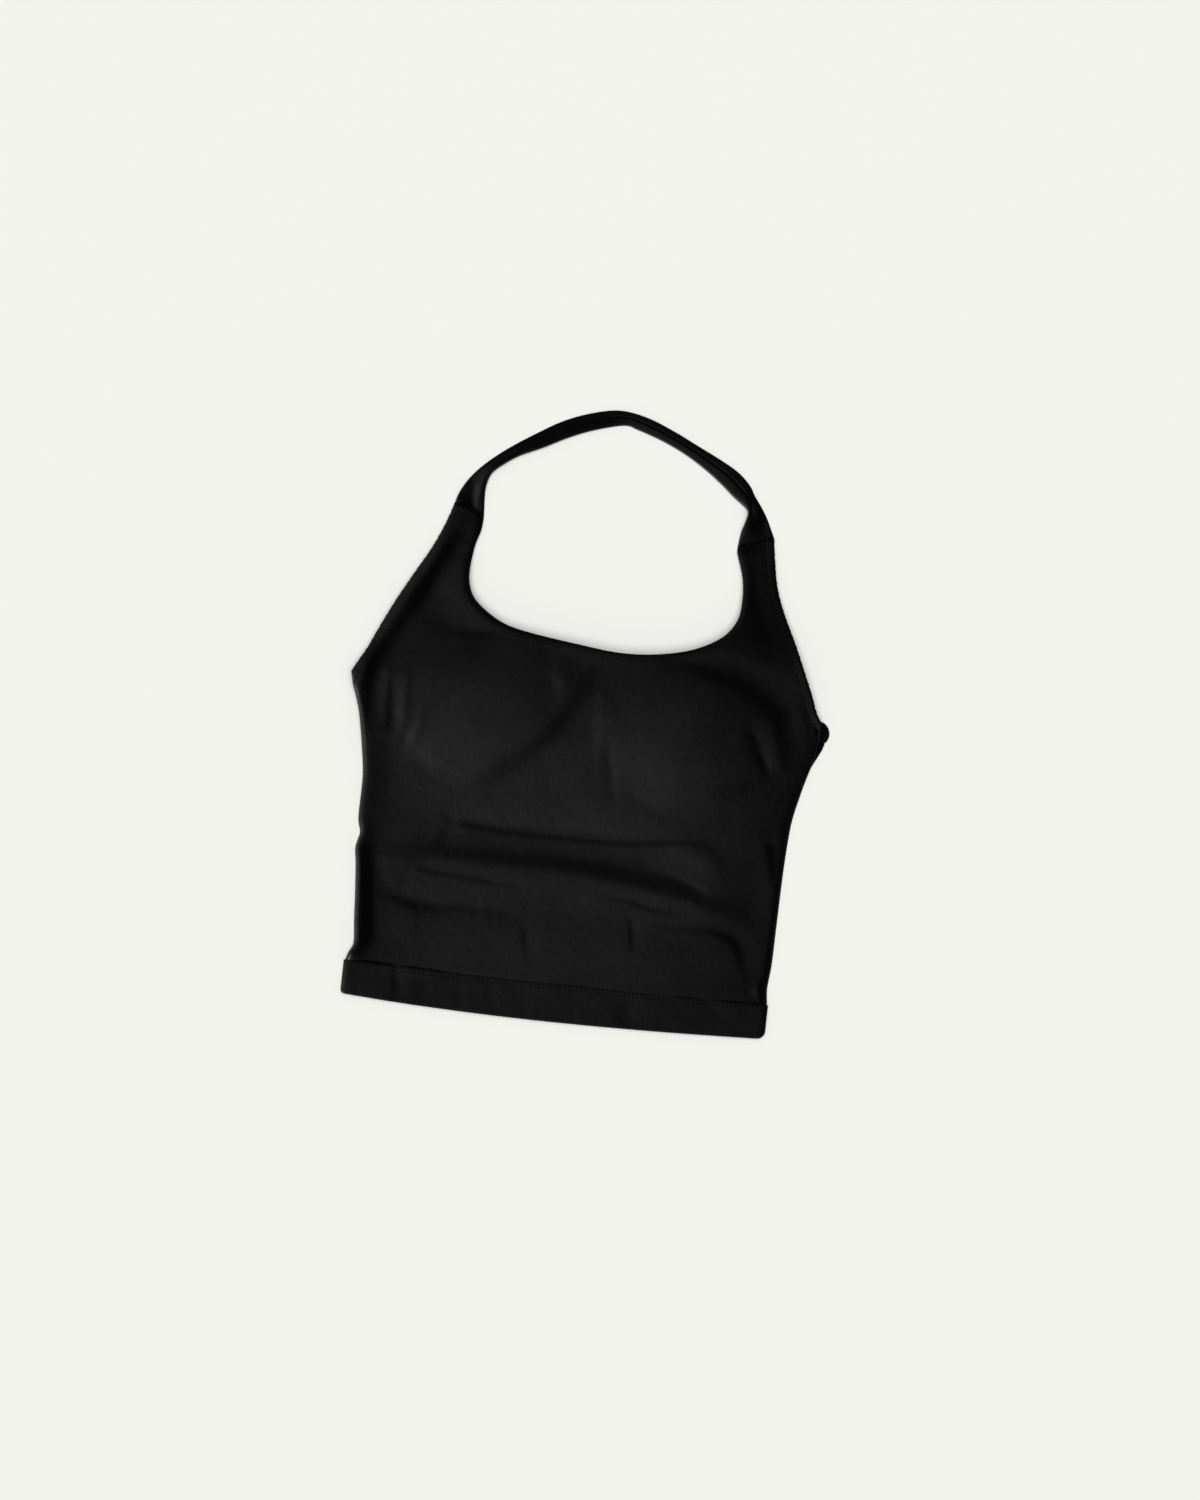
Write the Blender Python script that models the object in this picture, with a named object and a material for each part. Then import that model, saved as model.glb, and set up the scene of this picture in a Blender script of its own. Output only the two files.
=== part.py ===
"""Halter neck crop top of black stretch jersey, lying flat on its back.

The front panel is one piece with the two halter arms. It lies over the back panel, on two
soft cups, and its sides roll down to the surface. A neck strap joins the arms, both armholes
and the top of the back are bound, and a turned hem runs round the bottom as a flat tube.

Tables and sizes are in millimetres, in the pattern's own frame: x to the right, y from the
hem to the neck, z up from the surface. PLACE moves that frame so that the origin is the
middle of the footprint.
"""

from collections import namedtuple
import math

import bpy
import numpy as np
from mathutils import Vector
from mathutils.geometry import delaunay_2d_cdt

MM = 0.001
PLACE = (-3.28, -226.25)  # moves the pattern's origin, the hem's middle, to the footprint's

# Cloth and clearances
FRONT_WALL = 1.4
BACK_WALL = 1.2
BINDING_WALL = 1.6
BACK_BINDING_WALL = 1.7
HEM_WALL = 1.7
SEAM_GAP = 0.35
BINDING_WIDTH = 6.5
BINDING_PROUD = 0.25
BACK_BINDING_WIDTH = 9.0

# How high the top of the front lies
FLOOR_LEVEL = FRONT_WALL + 0.05  # on the arms, which lie on the surface itself
BODY_LEVEL = 3.4  # over the back panel, where the two cloths touch
BODY_PUFF = 3.6  # how far the slack cloth of the body stands above that
ARM_PUFF = 1.3
FOLD_ROUNDING = 0.6  # softens the cloth where a deep trough reaches the cloth below it
HEM_HEIGHT = 4.7
SIDE_ROLL = 8.5  # width of the rolled side folds
SIDE_LIFT = 2.6  # the roll's foot beside the armpit, where the back's binding passes under it
NECK_CALM = 20.0  # folds and cups fade out over this distance to the neckline

# Where the lie of the cloth changes, as stretches from the hem towards the neck
SLACK_STARTS = (26.0, 44.0)
SLACK_ENDS = (196.0, 262.0)
ROLL_CLIMBS = (186.0, 208.0)  # the side roll rises onto the back's binding
ROLL_ENDS = (222.0, 240.0)
ARMS_START = (262.0, 300.0)
BACK_STEP = (6.0, 34.0)  # past the back's top edge, where the front comes down to the surface

# Mesh spacing
GRID_X = 12.0
GRID_Y = 6.2
EDGE_STEP = 7.5
ROLL_RINGS = (0.7, 2.4, 5.4)  # distances from the side where the roll has a row of points
EDGE_CLEAR = 3.4  # grid points this near an outline are left out

# Outline, read from hem to neck
Edge = namedtuple("Edge", "y x")
LEFT_SIDE = [
    Edge(26.0, -158.4), Edge(32.0, -156.4), Edge(38.5, -153.7), Edge(56.0, -155.2),
    Edge(80.0, -157.0), Edge(99.0, -158.8), Edge(109.0, -160.2), Edge(116.0, -159.0),
    Edge(122.0, -157.9), Edge(133.0, -160.4), Edge(164.0, -160.6), Edge(190.0, -164.4),
    Edge(212.0, -168.6), Edge(231.0, -175.0),
]
RIGHT_SIDE = [
    Edge(26.0, 159.9), Edge(38.0, 158.6), Edge(56.0, 160.0), Edge(86.0, 160.4),
    Edge(116.0, 160.8), Edge(140.0, 161.5), Edge(164.0, 163.2), Edge(182.0, 166.8),
    Edge(200.0, 171.0), Edge(213.0, 174.6), Edge(228.0, 177.0),
]
LEFT_ARMHOLE = [
    Edge(240.5, -177.0), Edge(248.0, -173.2), Edge(260.0, -166.8), Edge(272.0, -161.6),
    Edge(296.0, -150.4), Edge(320.0, -137.8), Edge(338.0, -128.0), Edge(356.0, -120.2),
    Edge(374.4, -114.1),
]
RIGHT_ARMHOLE = [
    Edge(240.5, 176.6), Edge(248.0, 172.0), Edge(260.0, 167.4), Edge(272.0, 162.0),
    Edge(296.0, 151.2), Edge(320.0, 139.6), Edge(338.0, 133.0), Edge(356.0, 129.4),
    Edge(373.0, 126.7),
]
NECKLINE = [
    Edge(366.6, -91.3), Edge(356.0, -92.2), Edge(344.0, -95.5), Edge(326.0, -97.2),
    Edge(313.0, -95.4), Edge(302.0, -88.5), Edge(290.0, -70.8), Edge(284.0, -49.8),
    Edge(278.0, -4.0), Edge(275.8, 22.0), Edge(277.6, 48.0), Edge(284.0, 74.5),
    Edge(295.5, 95.4), Edge(310.0, 105.8), Edge(326.0, 107.8), Edge(340.0, 106.6),
    Edge(350.0, 103.8), Edge(360.0, 100.4), Edge(366.6, 100.3),
]
HEM_TOP = [Edge(25.4, -158.6), Edge(24.6, -60.0), Edge(25.2, 30.0), Edge(25.8, 159.8)]
HEM_BOTTOM = [
    Edge(0.1, -158.6), Edge(-2.2, -118.0), Edge(-3.7, -70.0), Edge(-4.3, -20.0),
    Edge(-3.8, 35.0), Edge(-2.4, 90.0), Edge(0.3, 156.0),
]
HEM_LEFT = -159.3
HEM_RIGHT = 160.4
BACK_TOP = [
    Edge(238.0, -175.8), Edge(233.0, -140.0), Edge(227.5, -60.0), Edge(226.0, 10.0),
    Edge(227.5, 80.0), Edge(232.0, 145.0), Edge(236.4, 181.5),
]
BACK_INSET = 3.3  # the back's sides stay this far inside the rolled sides of the front
BACK_LEFT_CORNER = (-172.6, 226.0)
BACK_RIGHT_CORNER = [(176.0, 216.0), (180.8, 222.6)]  # the back peeps out beside the right armpit
BACK_END = (176.4, 233.6)  # middle of the rounded end of its binding there
BACK_END_RADII = (7.2, 6.6)

# Cups under the front: a centre, half sizes, and how far each lifts the cloth
Cup = namedtuple("Cup", "name x y half_x half_y turn lift")
CUPS = [
    Cup("cup_left", -76.0, 222.0, 70.0, 60.0, 12.0, 15.5),
    Cup("cup_right", 89.0, 212.0, 66.0, 60.0, -10.0, 15.0),
]
CUP_FULLNESS = 2.3  # powers of a bulge's profile: how flat its top is
CUP_RUN_OUT = 1.5  # and how softly it meets the chest
CUP_SHARE = 0.75  # a cup's own outline, as a share of the bulge that it makes
CUP_FOOT = 2.1  # the cups' flat undersides, just above the back's binding
CUP_CLEAR = 3.0  # cloth wall and slack between a cup's dome and the front's face

FOLD_TAPER = (-0.02, 0.22)  # the share of a fold's length over which each end fades
# Folds: three points that the fold runs through, its height (a trough is negative), and how
# wide it falls away towards the neck and towards the hem
Fold = namedtuple("Fold", "x0 y0 x1 y1 x2 y2 height above below")
FOLDS = [
    # round the cups
    Fold(9, 262, -22, 214, -80, 160, -4.6, 7.5, 6.5),
    Fold(9, 246, 1, 212, -10, 168, 2.2, 9.0, 9.0),
    Fold(13, 228, 17, 200, 27, 160, -3.0, 6.0, 6.5),
    Fold(52, 279, 98, 271, 150, 238, -4.2, 6.0, 7.0),
    Fold(-116, 275, -92, 285, -62, 281, -2.4, 6.0, 6.0),
    Fold(-146, 236, -144, 216, -141, 194, -3.4, 4.5, 4.5),
    Fold(-137, 226, -135, 210, -131, 192, 2.4, 4.5, 4.5),
    Fold(120, 214, 124, 202, 127, 186, -2.6, 5.5, 5.5),
    Fold(133, 228, 140, 212, 145, 194, 2.8, 4.5, 4.5),
    # the slack cloth under the bust
    Fold(-106, 132, -10, 134, 100, 141, -2.2, 3.6, 5.0),
    Fold(-112, 115, 10, 119, 120, 98, -3.6, 7.0, 6.0),
    Fold(-136, 104, 0, 104, 122, 88, 4.2, 9.0, 11.0),
    Fold(-132, 76, -98, 64, -40, 77, -3.0, 6.0, 7.0),
    Fold(56, 78, 122, 83, 149, 40, -3.0, 5.5, 5.5),
    Fold(-140, 58, -60, 46, 30, 54, 1.8, 11.0, 11.0),
]

# Neck strap, one row for each section across it, from the left join to the right one. Crest
# is where its highest line lies, from -1 at the outer edge to 1 at the inner one.
Section = namedtuple("Section", "outer_x outer_y inner_x inner_y height crest")
STRAP = [
    Section(-114.1, 374.9, -91.3, 367.1, 1.9, -0.2),
    Section(-112.6, 380.2, -91.8, 373.6, 2.6, 0.2),
    Section(-110.4, 385.6, -92.3, 380.5, 3.6, 0.5),
    Section(-105.2, 394.4, -92.1, 389.6, 4.6, 0.6),
    Section(-97.2, 403.8, -88.8, 399.6, 5.0, 0.4),
    Section(-87.4, 412.8, -79.6, 408.0, 4.6, -0.1),
    Section(-75.5, 422.0, -68.8, 415.2, 4.2, -0.4),
    Section(-60.0, 432.4, -53.4, 422.4, 3.8, -0.5),
    Section(-40.5, 444.2, -34.0, 432.6, 3.6, -0.4),
    Section(-20.0, 452.4, -15.8, 440.1, 3.5, -0.3),
    Section(1.3, 456.8, 5.6, 445.9, 3.6, -0.2),
    Section(22.0, 453.8, 16.4, 443.8, 3.8, -0.1),
    Section(42.8, 446.0, 37.0, 436.9, 3.8, 0.0),
    Section(62.0, 437.0, 54.6, 428.8, 3.8, 0.0),
    Section(81.0, 428.0, 70.4, 419.2, 3.6, 0.1),
    Section(95.2, 420.0, 83.2, 409.8, 3.6, 0.3),
    Section(104.4, 411.4, 93.0, 401.6, 4.2, 0.5),
    Section(109.0, 404.0, 102.6, 394.6, 5.0, 0.5),
    Section(114.0, 397.4, 104.9, 391.2, 4.8, 0.0),
    Section(119.6, 388.8, 104.0, 385.2, 3.8, -0.3),
    Section(123.9, 380.0, 101.6, 376.6, 2.6, -0.3),
    Section(126.7, 373.6, 100.3, 367.2, 1.9, 0.0),
]
STRAP_STATIONS = 56
STRAP_TOP_POINTS = 7
STRAP_SIDE = 1.3  # height of the strap's rounded sides

# Hem tube: columns of points near its rolled ends, its corners, and its rows
HEM_END_COLUMNS = (0.0, 0.9, 2.6, 5.2)
HEM_COLUMNS = 25
HEM_ROWS = 4
HEM_ROLL = 5.0
HEM_CORNER_LEFT = 2.0
HEM_CORNER_RIGHT = 5.2
HEM_END_WALL = 2.3

BLACK_JERSEY = (0.0070, 0.0070, 0.0072)
BLACK_RIB = (0.0055, 0.0055, 0.0058)
BLACK_FOAM = (0.0100, 0.0100, 0.0105)


# ---------------------------------------------------------------- curves and distances

def spline(points, step):
    """A Catmull-Rom curve through the points, as points about a step apart."""
    p = np.array(points, float)
    ends = np.vstack([2 * p[0] - p[1], p, 2 * p[-1] - p[-2]])
    fine = []
    for a, b, c, d in zip(ends, ends[1:], ends[2:], ends[3:]):
        for t in np.linspace(0, 1, 12, endpoint=False):
            fine.append(
                0.5 * (2 * b + (c - a) * t + (2 * a - 5 * b + 4 * c - d) * t**2
                       + (3 * b - a - 3 * c + d) * t**3)
            )
    return respaced(np.array(fine + [p[-1]]), step)


def respaced(line, step):
    """The same line, with its points evenly about a step apart."""
    along = np.concatenate([[0], np.cumsum(np.linalg.norm(np.diff(line, axis=0), axis=1))])
    count = max(2, round(along[-1] / step) + 1)
    at = np.linspace(0, along[-1], count)
    return np.stack([np.interp(at, along, line[:, k]) for k in range(line.shape[1])], axis=1)


def edge_line(rows, step=EDGE_STEP):
    """A table of edge points as an even line of (x, y)."""
    return spline([(row.x, row.y) for row in rows], step)


def moved_in(line, distance):
    """The line moved to its right-hand side by a distance."""
    along = np.gradient(line, axis=0)
    along /= np.linalg.norm(along, axis=1)[:, None]
    return line + distance * np.stack([along[:, 1], -along[:, 0]], axis=1)


def distance_to(line, x, y):
    """How far points are from a line."""
    best = np.full(x.shape, np.inf)
    for (ax, ay), (bx, by) in zip(line, line[1:]):
        dx, dy = bx - ax, by - ay
        t = np.clip(((x - ax) * dx + (y - ay) * dy) / (dx * dx + dy * dy), 0, 1)
        best = np.minimum(best, np.hypot(x - ax - t * dx, y - ay - t * dy))
    return best


def smooth(value, start, end):
    """0 before start and 1 after end, with soft ends."""
    t = np.clip((value - start) / (end - start), 0, 1)
    return t * t * (3 - 2 * t)


def quarter_round(share):
    """A round profile: 0 at 0, upright there, and 1 from 1 on."""
    return np.sqrt(1 - (1 - np.clip(share, 0, 1)) ** 2)


LEFT_LINE = edge_line(LEFT_SIDE, 2.0)
RIGHT_LINE = edge_line(RIGHT_SIDE, 2.0)
NECK_LINE = edge_line(NECKLINE, 4.0)
HEM_TOP_LINE = edge_line(HEM_TOP, 4.0)
BACK_TOP_LINE = edge_line(BACK_TOP, 4.0)

# Out is which way the armhole faces along x
Armhole = namedtuple("Armhole", "name rows side out")
ARMHOLES = [
    Armhole("armhole_binding_left", LEFT_ARMHOLE, LEFT_LINE, -1),
    Armhole("armhole_binding_right", RIGHT_ARMHOLE, RIGHT_LINE, 1),
]


def left_at(y):
    return np.interp(y, LEFT_LINE[:, 1], LEFT_LINE[:, 0])


def right_at(y):
    return np.interp(y, RIGHT_LINE[:, 1], RIGHT_LINE[:, 0])


def side_distance(x, y):
    """How far inside the nearer side of the body a point lies."""
    return np.maximum(np.minimum(x - left_at(y), right_at(y) - x), 0)


# ---------------------------------------------------------------- the lie of the front

def cup_bulge(cup, x, y):
    """How far a cup lifts the cloth: a soft dome that runs out flat."""
    a = math.radians(cup.turn)
    across = ((x - cup.x) * math.cos(a) + (y - cup.y) * math.sin(a)) / cup.half_x
    up = (-(x - cup.x) * math.sin(a) + (y - cup.y) * math.cos(a)) / cup.half_y
    inside = np.clip(1 - np.hypot(across, up) ** CUP_FULLNESS, 0, 1)
    return cup.lift * inside**CUP_RUN_OUT


def fold_height(fold, x, y):
    """One soft ridge or trough along a curve through the fold's three points."""
    start = np.array([fold.x0, fold.y0])
    via = np.array([fold.x1, fold.y1])
    end = np.array([fold.x2, fold.y2])
    bend = 2 * via - 0.5 * (start + end)
    best = np.full(x.shape, np.inf)
    side = np.zeros(x.shape)
    along = np.zeros(x.shape)
    parts = 10
    shares = np.linspace(0, 1, parts + 1)[:, None]
    line = (1 - shares) ** 2 * start + 2 * shares * (1 - shares) * bend + shares**2 * end
    for i, (a, b) in enumerate(zip(line, line[1:])):
        d = b - a
        t = np.clip(((x - a[0]) * d[0] + (y - a[1]) * d[1]) / (d @ d), 0, 1)
        away = np.hypot(x - a[0] - t * d[0], y - a[1] - t * d[1])
        nearer = away < best
        best = np.where(nearer, away, best)
        side = np.where(nearer, d[0] * (y - a[1]) - d[1] * (x - a[0]), side)
        along = np.where(nearer, (i + t) / parts, along)
    towards_neck = side > 0 if end[0] > start[0] else side < 0
    width = np.where(towards_neck, fold.above, fold.below)
    taper = smooth(along, *FOLD_TAPER) * smooth(1 - along, *FOLD_TAPER)
    return fold.height * taper * np.exp(-((best / width) ** 2))


def front_height(x, y):
    """Height of the front's upper face above the surface."""
    past_back = y - np.interp(x, BACK_TOP_LINE[:, 0], BACK_TOP_LINE[:, 1])
    level = BODY_LEVEL + (FLOOR_LEVEL - BODY_LEVEL) * smooth(past_back, *BACK_STEP)
    slack = smooth(y, *SLACK_STARTS)
    puff = BODY_PUFF * (0.35 + 0.65 * slack) * (1 - smooth(y, *SLACK_ENDS))
    neck = distance_to(NECK_LINE, x, y)
    arm = ARM_PUFF * smooth(y, *ARMS_START) * smooth(neck, 0, BINDING_WIDTH + 4)
    lift = sum(cup_bulge(cup, x, y) for cup in CUPS)
    lift = lift + slack * sum(fold_height(fold, x, y) for fold in FOLDS)
    raised = puff + arm + lift * (0.22 + 0.78 * smooth(neck, 0, NECK_CALM))
    above = level + 0.5 * (raised + np.hypot(raised, FOLD_ROUNDING)) - 0.1
    return rolled(above, x, y)


def rolled(above, x, y):
    """The height with the body's sides rolled down to the surface, or to the back's binding."""
    foot = SIDE_LIFT * smooth(y, *ROLL_CLIMBS)
    turn = quarter_round(side_distance(x, y) / SIDE_ROLL)
    turn = turn + (1 - turn) * smooth(y, *ROLL_ENDS)
    return foot + (above - foot) * turn


# ---------------------------------------------------------------- making solids

def material(name, colour, roughness):
    made = bpy.data.materials.new(name)
    made.use_nodes = True
    shader = made.node_tree.nodes["Principled BSDF"]
    shader.inputs["Base Color"].default_value = (*colour, 1)
    shader.inputs["Roughness"].default_value = roughness
    made.diffuse_color = (*colour, 1)
    return made


def add_object(name, points, faces, finish):
    """A named object from points in pattern millimetres."""
    place = np.array([*PLACE, 0.0])
    mesh = bpy.data.meshes.new(name)
    mesh.from_pydata([tuple((np.asarray(p) + place) * MM) for p in points], [], faces)
    mesh.validate()
    mesh.update()
    mesh.shade_smooth()
    mesh.set_sharp_from_angle(angle=math.radians(50))
    mesh.materials.append(finish)
    made = bpy.data.objects.new(name, mesh)
    bpy.context.scene.collection.objects.link(made)


def triangulated(outline, inner):
    """Triangles that fill an outline and use the inner points."""
    count = len(outline)
    points = [Vector(p) for p in np.vstack([outline, inner])]
    edges = [(i, (i + 1) % count) for i in range(count)]
    made = delaunay_2d_cdt(points, edges, [], 1, 1e-4)
    return np.array([tuple(p) for p in made[0]]), [tuple(face) for face in made[2]]


def grid_inside(outline, step_x, step_y, clear):
    """Staggered rows of points inside an outline, clear of its edge."""
    low, high = outline.min(0), outline.max(0)
    found = []
    for row, y in enumerate(np.arange(low[1] + step_y * 0.6, high[1], step_y)):
        shift = 0.5 * step_x * (row % 2)
        found += [(x, y) for x in np.arange(low[0] + shift, high[0], step_x)]
    found = np.array(found)
    keep = inside(outline, found[:, 0], found[:, 1])
    keep &= distance_to(closed(outline), found[:, 0], found[:, 1]) > clear
    return found[keep]


def closed(outline):
    """An outline with its first point again at the end."""
    return np.vstack([outline, outline[:1]])


def inside(outline, x, y):
    """Whether points lie within a closed outline."""
    odd = np.zeros(x.shape, bool)
    for (ax, ay), (bx, by) in zip(outline, np.roll(outline, -1, axis=0)):
        if ay == by:
            continue
        crosses = (ay > y) != (by > y)
        odd ^= crosses & (x < ax + (y - ay) * (bx - ax) / (by - ay))
    return odd


def cloth_wall(name, outline, inner, height, wall, finish, settle=None):
    """A wall of even thickness under a height field, over a triangulated outline."""
    flat, faces = triangulated(outline, inner)
    top = np.column_stack([flat, height(flat[:, 0], flat[:, 1])])
    sheet = bpy.data.meshes.new("sheet")
    sheet.from_pydata([tuple(p) for p in top], [], faces)
    if sum(polygon.normal.z for polygon in sheet.polygons) < 0:
        faces = [tuple(reversed(face)) for face in faces]
        sheet.flip_normals()
    normals = np.array([tuple(v.normal) for v in sheet.vertices])
    bpy.data.meshes.remove(sheet)
    under = top - wall * normals
    if settle:
        settle(top, under)
    under[:, 2] = np.maximum(under[:, 2], 0)
    count = len(top)
    rim = rim_edges(faces)
    sides = [(a, a + count, b + count, b) for a, b in rim]
    lower = [tuple(i + count for i in reversed(face)) for face in faces]
    add_object(name, np.vstack([top, under]), faces + lower + sides, finish)


def rim_edges(faces):
    """The edges that only one face uses, in that face's direction."""
    used = set()
    for face in faces:
        used.update(zip(face, face[1:] + face[:1]))
    return [(a, b) for a, b in used if (b, a) not in used]


def joined(*lines):
    """Lines end to end as one closed outline, with no point twice."""
    points = []
    for line in lines:
        for p in line:
            if not points or math.dist(p, points[-1]) > 0.05:
                points.append(tuple(p))
    if math.dist(points[0], points[-1]) < 0.05:
        points.pop()
    return np.array(points)


# ---------------------------------------------------------------- the pieces

def armhole_edge(armhole, distance):
    """An armhole moved into the cloth, from where it meets the body's side to the join."""
    shifted = moved_in(edge_line(armhole.rows), -armhole.out * distance)
    back = np.linspace(1.6, 0.0, 33)[:, None]
    tail = shifted[0] - (shifted[1] - shifted[0]) * back
    side = armhole.out * np.interp(tail[:, 1], armhole.side[:, 1], armhole.side[:, 0])
    within = tail[armhole.out * tail[:, 0] <= side]
    return np.vstack([within[0], shifted[1:]])


def hem_seam(x):
    """Where the panels begin above the hem."""
    return np.interp(x, HEM_TOP_LINE[:, 0], HEM_TOP_LINE[:, 1]) + SEAM_GAP


def front_outline():
    """The front's edge: along the hem, up the right side and arm, the neckline, and back."""
    gap = BINDING_WIDTH + SEAM_GAP
    left_arm = armhole_edge(ARMHOLES[0], gap)
    right_arm = armhole_edge(ARMHOLES[1], gap)
    left = edge_line(LEFT_SIDE)
    right = edge_line(RIGHT_SIDE)
    left = left[left[:, 1] < left_arm[0, 1] - 2]
    right = right[right[:, 1] < right_arm[0, 1] - 2]
    neck = edge_line(NECKLINE, 6.0)
    ends = np.array([0.0, *ROLL_RINGS, SIDE_ROLL])
    between = np.linspace(left[0, 0] + 20, right[0, 0] - 20, 28)
    xs = np.concatenate([left[0, 0] + ends, between, right[0, 0] - ends[::-1]])
    hem = np.column_stack([xs, hem_seam(xs)])
    return joined(hem, right[1:], right_arm, neck[::-1], left_arm[::-1], left[:0:-1])


def roll_points():
    """Rows of points just inside the rolled sides."""
    found = []
    for y in np.arange(SLACK_STARTS[0] + 5, ROLL_ENDS[0] + 2, EDGE_STEP * 0.9):
        for inward in ROLL_RINGS:
            found.append((left_at(y) + inward, y))
            found.append((right_at(y) - inward, y))
    return np.array(found)


def settle_front(top, under):
    """Keeps the front's inner face clear of the hem, and its rolled sides on what they lie on."""
    at_hem = top[:, 1] < hem_seam(top[:, 0]) + 0.1
    under[at_hem, 1] = top[at_hem, 1]
    foot = SIDE_LIFT * smooth(top[:, 1], *ROLL_CLIMBS)
    at_side = side_distance(top[:, 0], top[:, 1]) < 2
    under[at_side, 2] = np.maximum(under[at_side, 2], foot[at_side])


def make_front(finish):
    """The front panel with its two arms, over the cups, with its folds and rolled sides."""
    outline = front_outline()
    rolls = roll_points()
    rolls = rolls[distance_to(closed(outline), rolls[:, 0], rolls[:, 1]) > 0.5]
    grid = grid_inside(outline, GRID_X, GRID_Y, EDGE_CLEAR)
    near_side = side_distance(grid[:, 0], grid[:, 1]) < ROLL_RINGS[-1] + EDGE_CLEAR
    grid = grid[~(near_side & (grid[:, 1] < ROLL_ENDS[0] + 4))]
    inner = np.vstack([rolls, grid])
    cloth_wall("front_panel", outline, inner, front_height, FRONT_WALL, finish, settle_front)


def binding_height(x, y):
    """The binding stands a little proud of the front."""
    return front_height(x, y) + BINDING_PROUD


def make_armhole_binding(armhole, finish):
    """A folded strip that binds one armhole, in line with the front's face."""
    outer = edge_line(armhole.rows)
    inner = armhole_edge(armhole, BINDING_WIDTH)
    middle = moved_in(outer, -armhole.out * BINDING_WIDTH / 2)
    outline = joined(outer, inner[::-1])
    cloth_wall(armhole.name, outline, middle[1:-1], binding_height, BINDING_WALL, finish)


def make_back(finish):
    """The back panel, flat on the surface from the hem to its bound top edge."""
    hem = edge_line(HEM_TOP, 16.0) + (0, SEAM_GAP)
    left_heights = np.arange(hem[0, 1] + 0.5, BACK_LEFT_CORNER[1], 12.0)
    left = np.column_stack([left_at(left_heights) + BACK_INSET, left_heights])
    right_heights = left_heights[left_heights < BACK_RIGHT_CORNER[0][1] - 10]
    right = np.column_stack([right_at(right_heights) - BACK_INSET, right_heights])
    top = moved_in(edge_line(BACK_TOP, 16.0), BACK_BINDING_WIDTH + SEAM_GAP)
    top = top[(top[:, 0] > BACK_LEFT_CORNER[0] + 1) & (top[:, 0] < BACK_RIGHT_CORNER[0][0])]
    outline = joined(hem[1:-1], right, BACK_RIGHT_CORNER, top[::-1], [BACK_LEFT_CORNER], left[::-1])
    slab("back_panel", outline, BACK_WALL, finish)


def make_back_binding(finish):
    """The binding along the top of the back, from armpit to armpit, with a rounded right end."""
    outer = edge_line(BACK_TOP, 9.0)
    inner = moved_in(outer, BACK_BINDING_WIDTH)
    inner = inner[inner[:, 0] > BACK_LEFT_CORNER[0]]
    turns = np.radians(np.linspace(-75, 80, 9))
    end = np.array(BACK_END) + np.column_stack([np.cos(turns), np.sin(turns)]) * BACK_END_RADII
    outline = joined(inner[:-1], end, outer[-2::-1])
    slab("back_binding", outline, BACK_BINDING_WALL, finish)


def slab(name, outline, wall, finish):
    """A piece of even thickness, flat on the surface."""

    def level(x, y):
        return np.full(x.shape, wall)

    cloth_wall(name, outline, np.zeros((0, 2)), level, wall, finish)


def make_cup(cup, finish):
    """A soft cup: flat below, domed above, just inside the bulge of the front."""
    rings, spokes = 7, 26
    shares = CUP_SHARE * np.sin(0.5 * math.pi * np.arange(1, rings + 1) / rings)
    angles = 2 * math.pi * np.arange(spokes) / spokes
    across = np.outer(shares, cup.half_x * np.cos(angles)).ravel()
    up = np.outer(shares, cup.half_y * np.sin(angles)).ravel()
    a = math.radians(cup.turn)
    x = cup.x + np.append(0, across * math.cos(a) - up * math.sin(a))
    y = cup.y + np.append(0, across * math.sin(a) + up * math.cos(a))
    top = np.column_stack([x, y, front_height(x, y) - CUP_CLEAR])
    rim = top[-spokes:].copy()
    rim[:, 2] = CUP_FOOT
    faces = [(0, 1 + s, 1 + (s + 1) % spokes) for s in range(spokes)]
    for ring in range(rings):
        first = 1 + ring * spokes
        for s in range(spokes):
            n = (s + 1) % spokes
            faces.append((first + s, first + s + spokes, first + n + spokes, first + n))
    faces.append(tuple(len(top) + s for s in reversed(range(spokes))))
    add_object(cup.name, np.vstack([top, rim]), faces, finish)


def hem_row(share):
    """One row across the hem, from its bottom edge (0) to its seam (1), with round corners."""
    width = HEM_RIGHT - HEM_LEFT
    ends = np.array(HEM_END_COLUMNS)
    xs = np.concatenate([ends, np.linspace(10, width - 10, HEM_COLUMNS), width - ends[::-1]])
    xs = HEM_LEFT + xs
    bottom = edge_line(HEM_BOTTOM, 4.0)
    low = np.interp(xs, bottom[:, 0], bottom[:, 1])
    low += HEM_CORNER_LEFT * (1 - quarter_round((xs - HEM_LEFT) / HEM_CORNER_LEFT))
    low += HEM_CORNER_RIGHT * (1 - quarter_round((HEM_RIGHT - xs) / HEM_CORNER_RIGHT))
    high = hem_seam(xs) - SEAM_GAP
    return xs, low + (high - low) * share


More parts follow.
